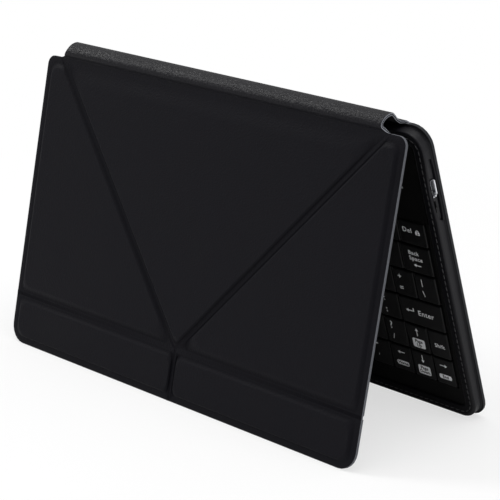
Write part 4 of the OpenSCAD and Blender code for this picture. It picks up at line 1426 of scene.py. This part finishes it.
def letter_meshes(context, marks):
    """Points and faces of each text at each size, made once, with its middle at the origin."""
    height = in_mm(sizes().legend)
    texts = {}
    for _, _, text, _, _, size, style in marks:
        if style in ("print", "reversed") and (text, size) not in texts:
            printed = style == "print"
            curve = bpy.data.curves.new("legend", "FONT")
            curve.body, curve.size = text, height * size
            curve.align_x, curve.align_y = "CENTER", "CENTER"
            curve.resolution_u = 3
            curve.space_character = 1.12 if printed else 1.0
            curve.extrude = LETTER_T
            curve.offset = (BOLD if printed else BOLD_REVERSED) * height
            texts[text, size] = bpy.data.objects.new("legend", curve)
            context.scene.collection.objects.link(texts[text, size])
    context.view_layer.update()
    shapes = context.evaluated_depsgraph_get()
    letters = {}
    for key, source in texts.items():
        mesh = bpy.data.meshes.new_from_object(source.evaluated_get(shapes))
        points = np.empty(len(mesh.vertices) * 3)
        mesh.vertices.foreach_get("co", points)
        letters[key] = points.reshape(-1, 3), [list(p.vertices) for p in mesh.polygons]
        bpy.data.meshes.remove(mesh)
        bpy.data.objects.remove(source)
    return letters


class CASE_OT_legends(Operator):
    """Print the legends on the keys: letters, signs, arrows and small reversed plates"""

    bl_idname = "case.legends"
    bl_label = "Key legends"

    def execute(self, context):
        marks = legend_table()
        letters = letter_meshes(context, marks)
        dish = in_mm(sizes().dish)
        top = HALF_T - dish
        cap = top + dish * 0.6
        finishes = [finish_of("legend"), finish_of("keycap")]
        for node, (row, indices) in KEY_NODES.items():
            patches = Patches()
            for mark_row, index, what, x, s, size, style in marks:
                if mark_row != row or index not in indices:
                    continue
                reversed_out = style == "reversed"
                if reversed_out or style == "print":
                    points, faces = letters[what, size]
                    lift = cap + (LIFT_REVERSED if reversed_out else LIFT)
                    shapes = [(points + [0, 0, lift], faces)]
                else:
                    flats = sign_outlines(style, what, size)
                    shapes = [prism(flat, top - 0.02, cap + LIFT_SIGN) for flat in flats]
                at = np.array([*(np.array(key_box(row, index)[:2]) + [x, s]), 0.0])
                for points, faces in shapes:
                    patches.add(on_back(points + at), faces, int(reversed_out))
            if patches.count:
                piece = patches.build(node.replace("key", "legend", 1), finishes)
                seat(piece, node, "keycap_plastic")
        return {"FINISHED"}


# ---- Socket and controls ----


def port_outline(grow):
    """Outline of the socket's shell, (along the tray, height): cut corners on the cover's side."""
    w, low, high = PORT_W / 2 + grow, -grow, PORT_H + grow
    corners = [
        [-w, 0.9], [-w + 0.85, low], [w - 0.85, low], [w, 0.9], [w, high], [-w, high],
    ]
    return outline(corners, [0.25 + max(0, grow)] * 6, 4, 2)


class CASE_OT_controls(Operator):
    """Make the charging socket with its flared mouth, and finish the slider, button and lamps"""

    bl_idname = "case.controls"
    bl_label = "Socket and controls"

    def execute(self, context):
        # distance out from the mouth, and how much wider the shell is there: outside, then inside
        rows = [
            (-7.5, 0.0), (-1.0, 0.0), (-0.35, 0.04), (-0.05, 0.16), (0.0, 0.14), (-0.06, -0.02),
            (-0.3, -0.16), (-0.9, -0.26), (-7.1, -0.3),
        ]
        rings = []
        for out, grow in rows:
            flat = port_outline(grow)
            x = np.full(len(flat), PORT_X + out)
            rings.append(np.stack([x, PORT_S + flat[:, 0], PORT_Z + flat[:, 1]], -1))
        patches = Patches()
        shell_from_rings(patches, on_back(np.array(rings)), np.zeros(len(rings) - 1, int))
        shell = patches.build("socket_shell", [finish_of("steel")], sharp=40)
        seat(shell, "keyboard_half", "bright_steel", "usb_shell")
        eased = (
            # node, body, width of its bevel, finish, slot
            ("usb_tongue", "keyboard_half", 0.08, "tongue", "control_plastic"),
            ("grip_strip", "keyboard_half", 0.1, "rubber", "black_rubber"),
            ("lamp_lenses", "keyboard_half", 0.08, "lens", "lamp_lens"),
            ("power_slider", "power_slider", 0.12, "control", "control_plastic"),
            ("pair_button", "pair_button", 0.12, "control", "control_plastic"),
        )
        for node, body, width, material, slot in eased:
            seat(softened(node, node + "_eased", width, material), body, slot, node)
        return {"FINISHED"}


# ---- Stage ----

# Half width of the floor, in metres
FLOOR_REACH = 8.0
# Share by which the floor is lifted to white: seen straight near the case and far from it, and
# seen in metal or through glass
LIFT_NEAR, LIFT_FAR, LIFT_MIRROR = 0.65, 1.0, 0.65
# Distances from the case's middle, in metres, over which each lift grows
NEAR_TO_FAR, MIRROR_NEAR_TO_FAR = (0.15, 0.42), (0.13, 0.3)


class CASE_OT_stage(Operator):
    """Set the pale floor, the soft studio light and the camera"""

    bl_idname = "case.stage"
    bl_label = "Stage"

    def execute(self, context):
        scene = context.scene
        scene.view_settings.view_transform = "Standard"
        self.make_floor(scene)
        self.make_world(scene)
        self.make_lamps(scene)
        self.make_camera(scene)
        return {"FINISHED"}

    def make_floor(self, scene):
        """A white floor. Seen straight, in metal or through glass, it is lifted towards white,
        fully so away from the case, and near the case only in part, so its shadow stays.
        """
        n = Nodes("studio_floor")
        n.finish((0.93, 0.93, 0.93), 0.95, specular_ior_level=0.0)
        white = n.add("ShaderNodeEmission", {"Color": (1, 1, 1, 1), "Strength": 1.0})
        distance = n.add("ShaderNodeVectorMath", {0: n.place}, operation="LENGTH").outputs["Value"]
        rays = n.add("ShaderNodeLightPath").outputs
        mirrored_rays = n.sum(rays["Is Glossy Ray"], rays["Is Transmission Ray"])
        near_to_far = n.spread(distance, LIFT_NEAR, LIFT_FAR, *NEAR_TO_FAR)
        direct = n.times(rays["Is Camera Ray"], near_to_far)
        mirror_near_to_far = n.spread(distance, 0.0, LIFT_MIRROR, *MIRROR_NEAR_TO_FAR)
        in_mirror = n.times(mirrored_rays, mirror_near_to_far)
        lift = n.sum(direct, in_mirror)
        mix = n.add("ShaderNodeMixShader", {0: lift, 1: n.shader.outputs[0], 2: white.outputs[0]})
        n.tree.links.new(mix.outputs[0], n.tree.nodes["Material Output"].inputs["Surface"])
        mesh = bpy.data.meshes.new("studio_floor")
        corners = np.array([[-1, -1, 0], [1, -1, 0], [1, 1, 0], [-1, 1, 0]]) * FLOOR_REACH
        mesh.from_pydata(corners.tolist(), [], [[0, 1, 2, 3]])
        mesh.materials.append(n.material)
        floor = bpy.data.objects.new("studio_floor", mesh)
        scene.collection.objects.link(floor)

    def make_world(self, scene):
        """Soft light from all round, weaker at the horizon than overhead."""
        world = bpy.data.worlds.new("studio")
        world.use_nodes = True
        tree = world.node_tree
        height = tree.nodes.new("ShaderNodeSeparateXYZ")
        tree.links.new(tree.nodes.new("ShaderNodeTexCoord").outputs["Generated"], height.inputs[0])
        strength = tree.nodes.new("ShaderNodeMapRange")
        strength.inputs["To Min"].default_value = 0.32
        strength.inputs["To Max"].default_value = 0.6
        tree.links.new(height.outputs["Z"], strength.inputs["Value"])
        tree.nodes["Background"].inputs["Color"].default_value = (1, 1, 1, 1)
        tree.links.new(strength.outputs[0], tree.nodes["Background"].inputs["Strength"])
        scene.world = world

    def make_lamps(self, scene):
        """Three round area lights, each turned from its place to the point that it is aimed at."""
        lamps = (
            # name, place and diameter in metres, power in watts, point aimed at
            ("top_light", (0.2, -0.1, 1.6), 1.2, 10.0, (0, 0, 0.05)),
            ("left_softbox", (-1.12, -0.66, 1.05), 0.5, 10.0, (0, 0, 0.12)),
            ("side_light", (1.5, 0.3, 0.7), 0.9, 4.0, (0, 0.02, 0.07)),
        )
        for name, place, size, power, target in lamps:
            light = bpy.data.lights.new(name, "AREA")
            light.shape, light.size, light.energy = "DISK", size, power
            lamp = bpy.data.objects.new(name, light)
            lamp.location = place
            away = np.array(place) - np.array(target)
            lamp.rotation_mode = "QUATERNION"
            lamp.rotation_quaternion = Vector(away).to_track_quat("Z", "Y")
            scene.collection.objects.link(lamp)

    def make_camera(self, scene):
        """A long lens in front of the case, to its right and a little above it."""
        data = bpy.data.cameras.new("camera")
        data.sensor_width, data.lens = 36.0, 142.463
        data.clip_start, data.clip_end = 0.05, 30.0
        camera = bpy.data.objects.new("camera", data)
        # the view's three directions, and the camera's place in metres
        right = (0.700224, 0.713919, 0.002227)
        down = (0.214945, -0.207845, -0.954253)
        forward = (-0.680797, 0.66867, -0.298992)
        place = (0.599037, -0.580586, 0.321177)
        camera.matrix_world = Matrix([
            (right[i], -down[i], -forward[i], place[i]) for i in range(3)
        ] + [(0, 0, 0, 1)])
        scene.collection.objects.link(camera)
        scene.camera = camera


class CASE_PT_sidebar(Panel):
    """Lists the operators, sizes and colours of the case."""

    bl_label = "Tablet keyboard case"
    bl_idname = "CASE_PT_sidebar"
    bl_space_type = "VIEW_3D"
    bl_region_type = "UI"
    bl_category = "Case"

    def draw(self, context):
        for operator in OPERATORS:
            self.layout.operator(operator.bl_idname)
        for group in (context.scene.case_sizes, context.scene.case_colours):
            box = self.layout.box()
            for name in group.bl_rna.properties.keys():
                if name not in ("rna_type", "name"):
                    box.prop(group, name)


OPERATORS = (
    CASE_OT_stage, CASE_OT_cover_panels, CASE_OT_fold_strips, CASE_OT_spine, CASE_OT_tray,
    CASE_OT_keyboard, CASE_OT_keycaps, CASE_OT_legends, CASE_OT_controls,
)
CLASSES = (CaseSizes, CaseColours, *OPERATORS, CASE_PT_sidebar)


def register():
    """Makes the classes known to Blender and hangs the two groups on the scene."""
    for cls in CLASSES:
        bpy.utils.register_class(cls)
    bpy.types.Scene.case_sizes = PointerProperty(type=CaseSizes)
    bpy.types.Scene.case_colours = PointerProperty(type=CaseColours)


def unregister():
    """Takes back what register() did, in the opposite order."""
    del bpy.types.Scene.case_sizes
    del bpy.types.Scene.case_colours
    for cls in reversed(CLASSES):
        bpy.utils.unregister_class(cls)


def main():
    register()
    for operator in OPERATORS:
        group, name = operator.bl_idname.split(".")
        getattr(getattr(bpy.ops, group), name)()


if __name__ == "__main__":
    main()
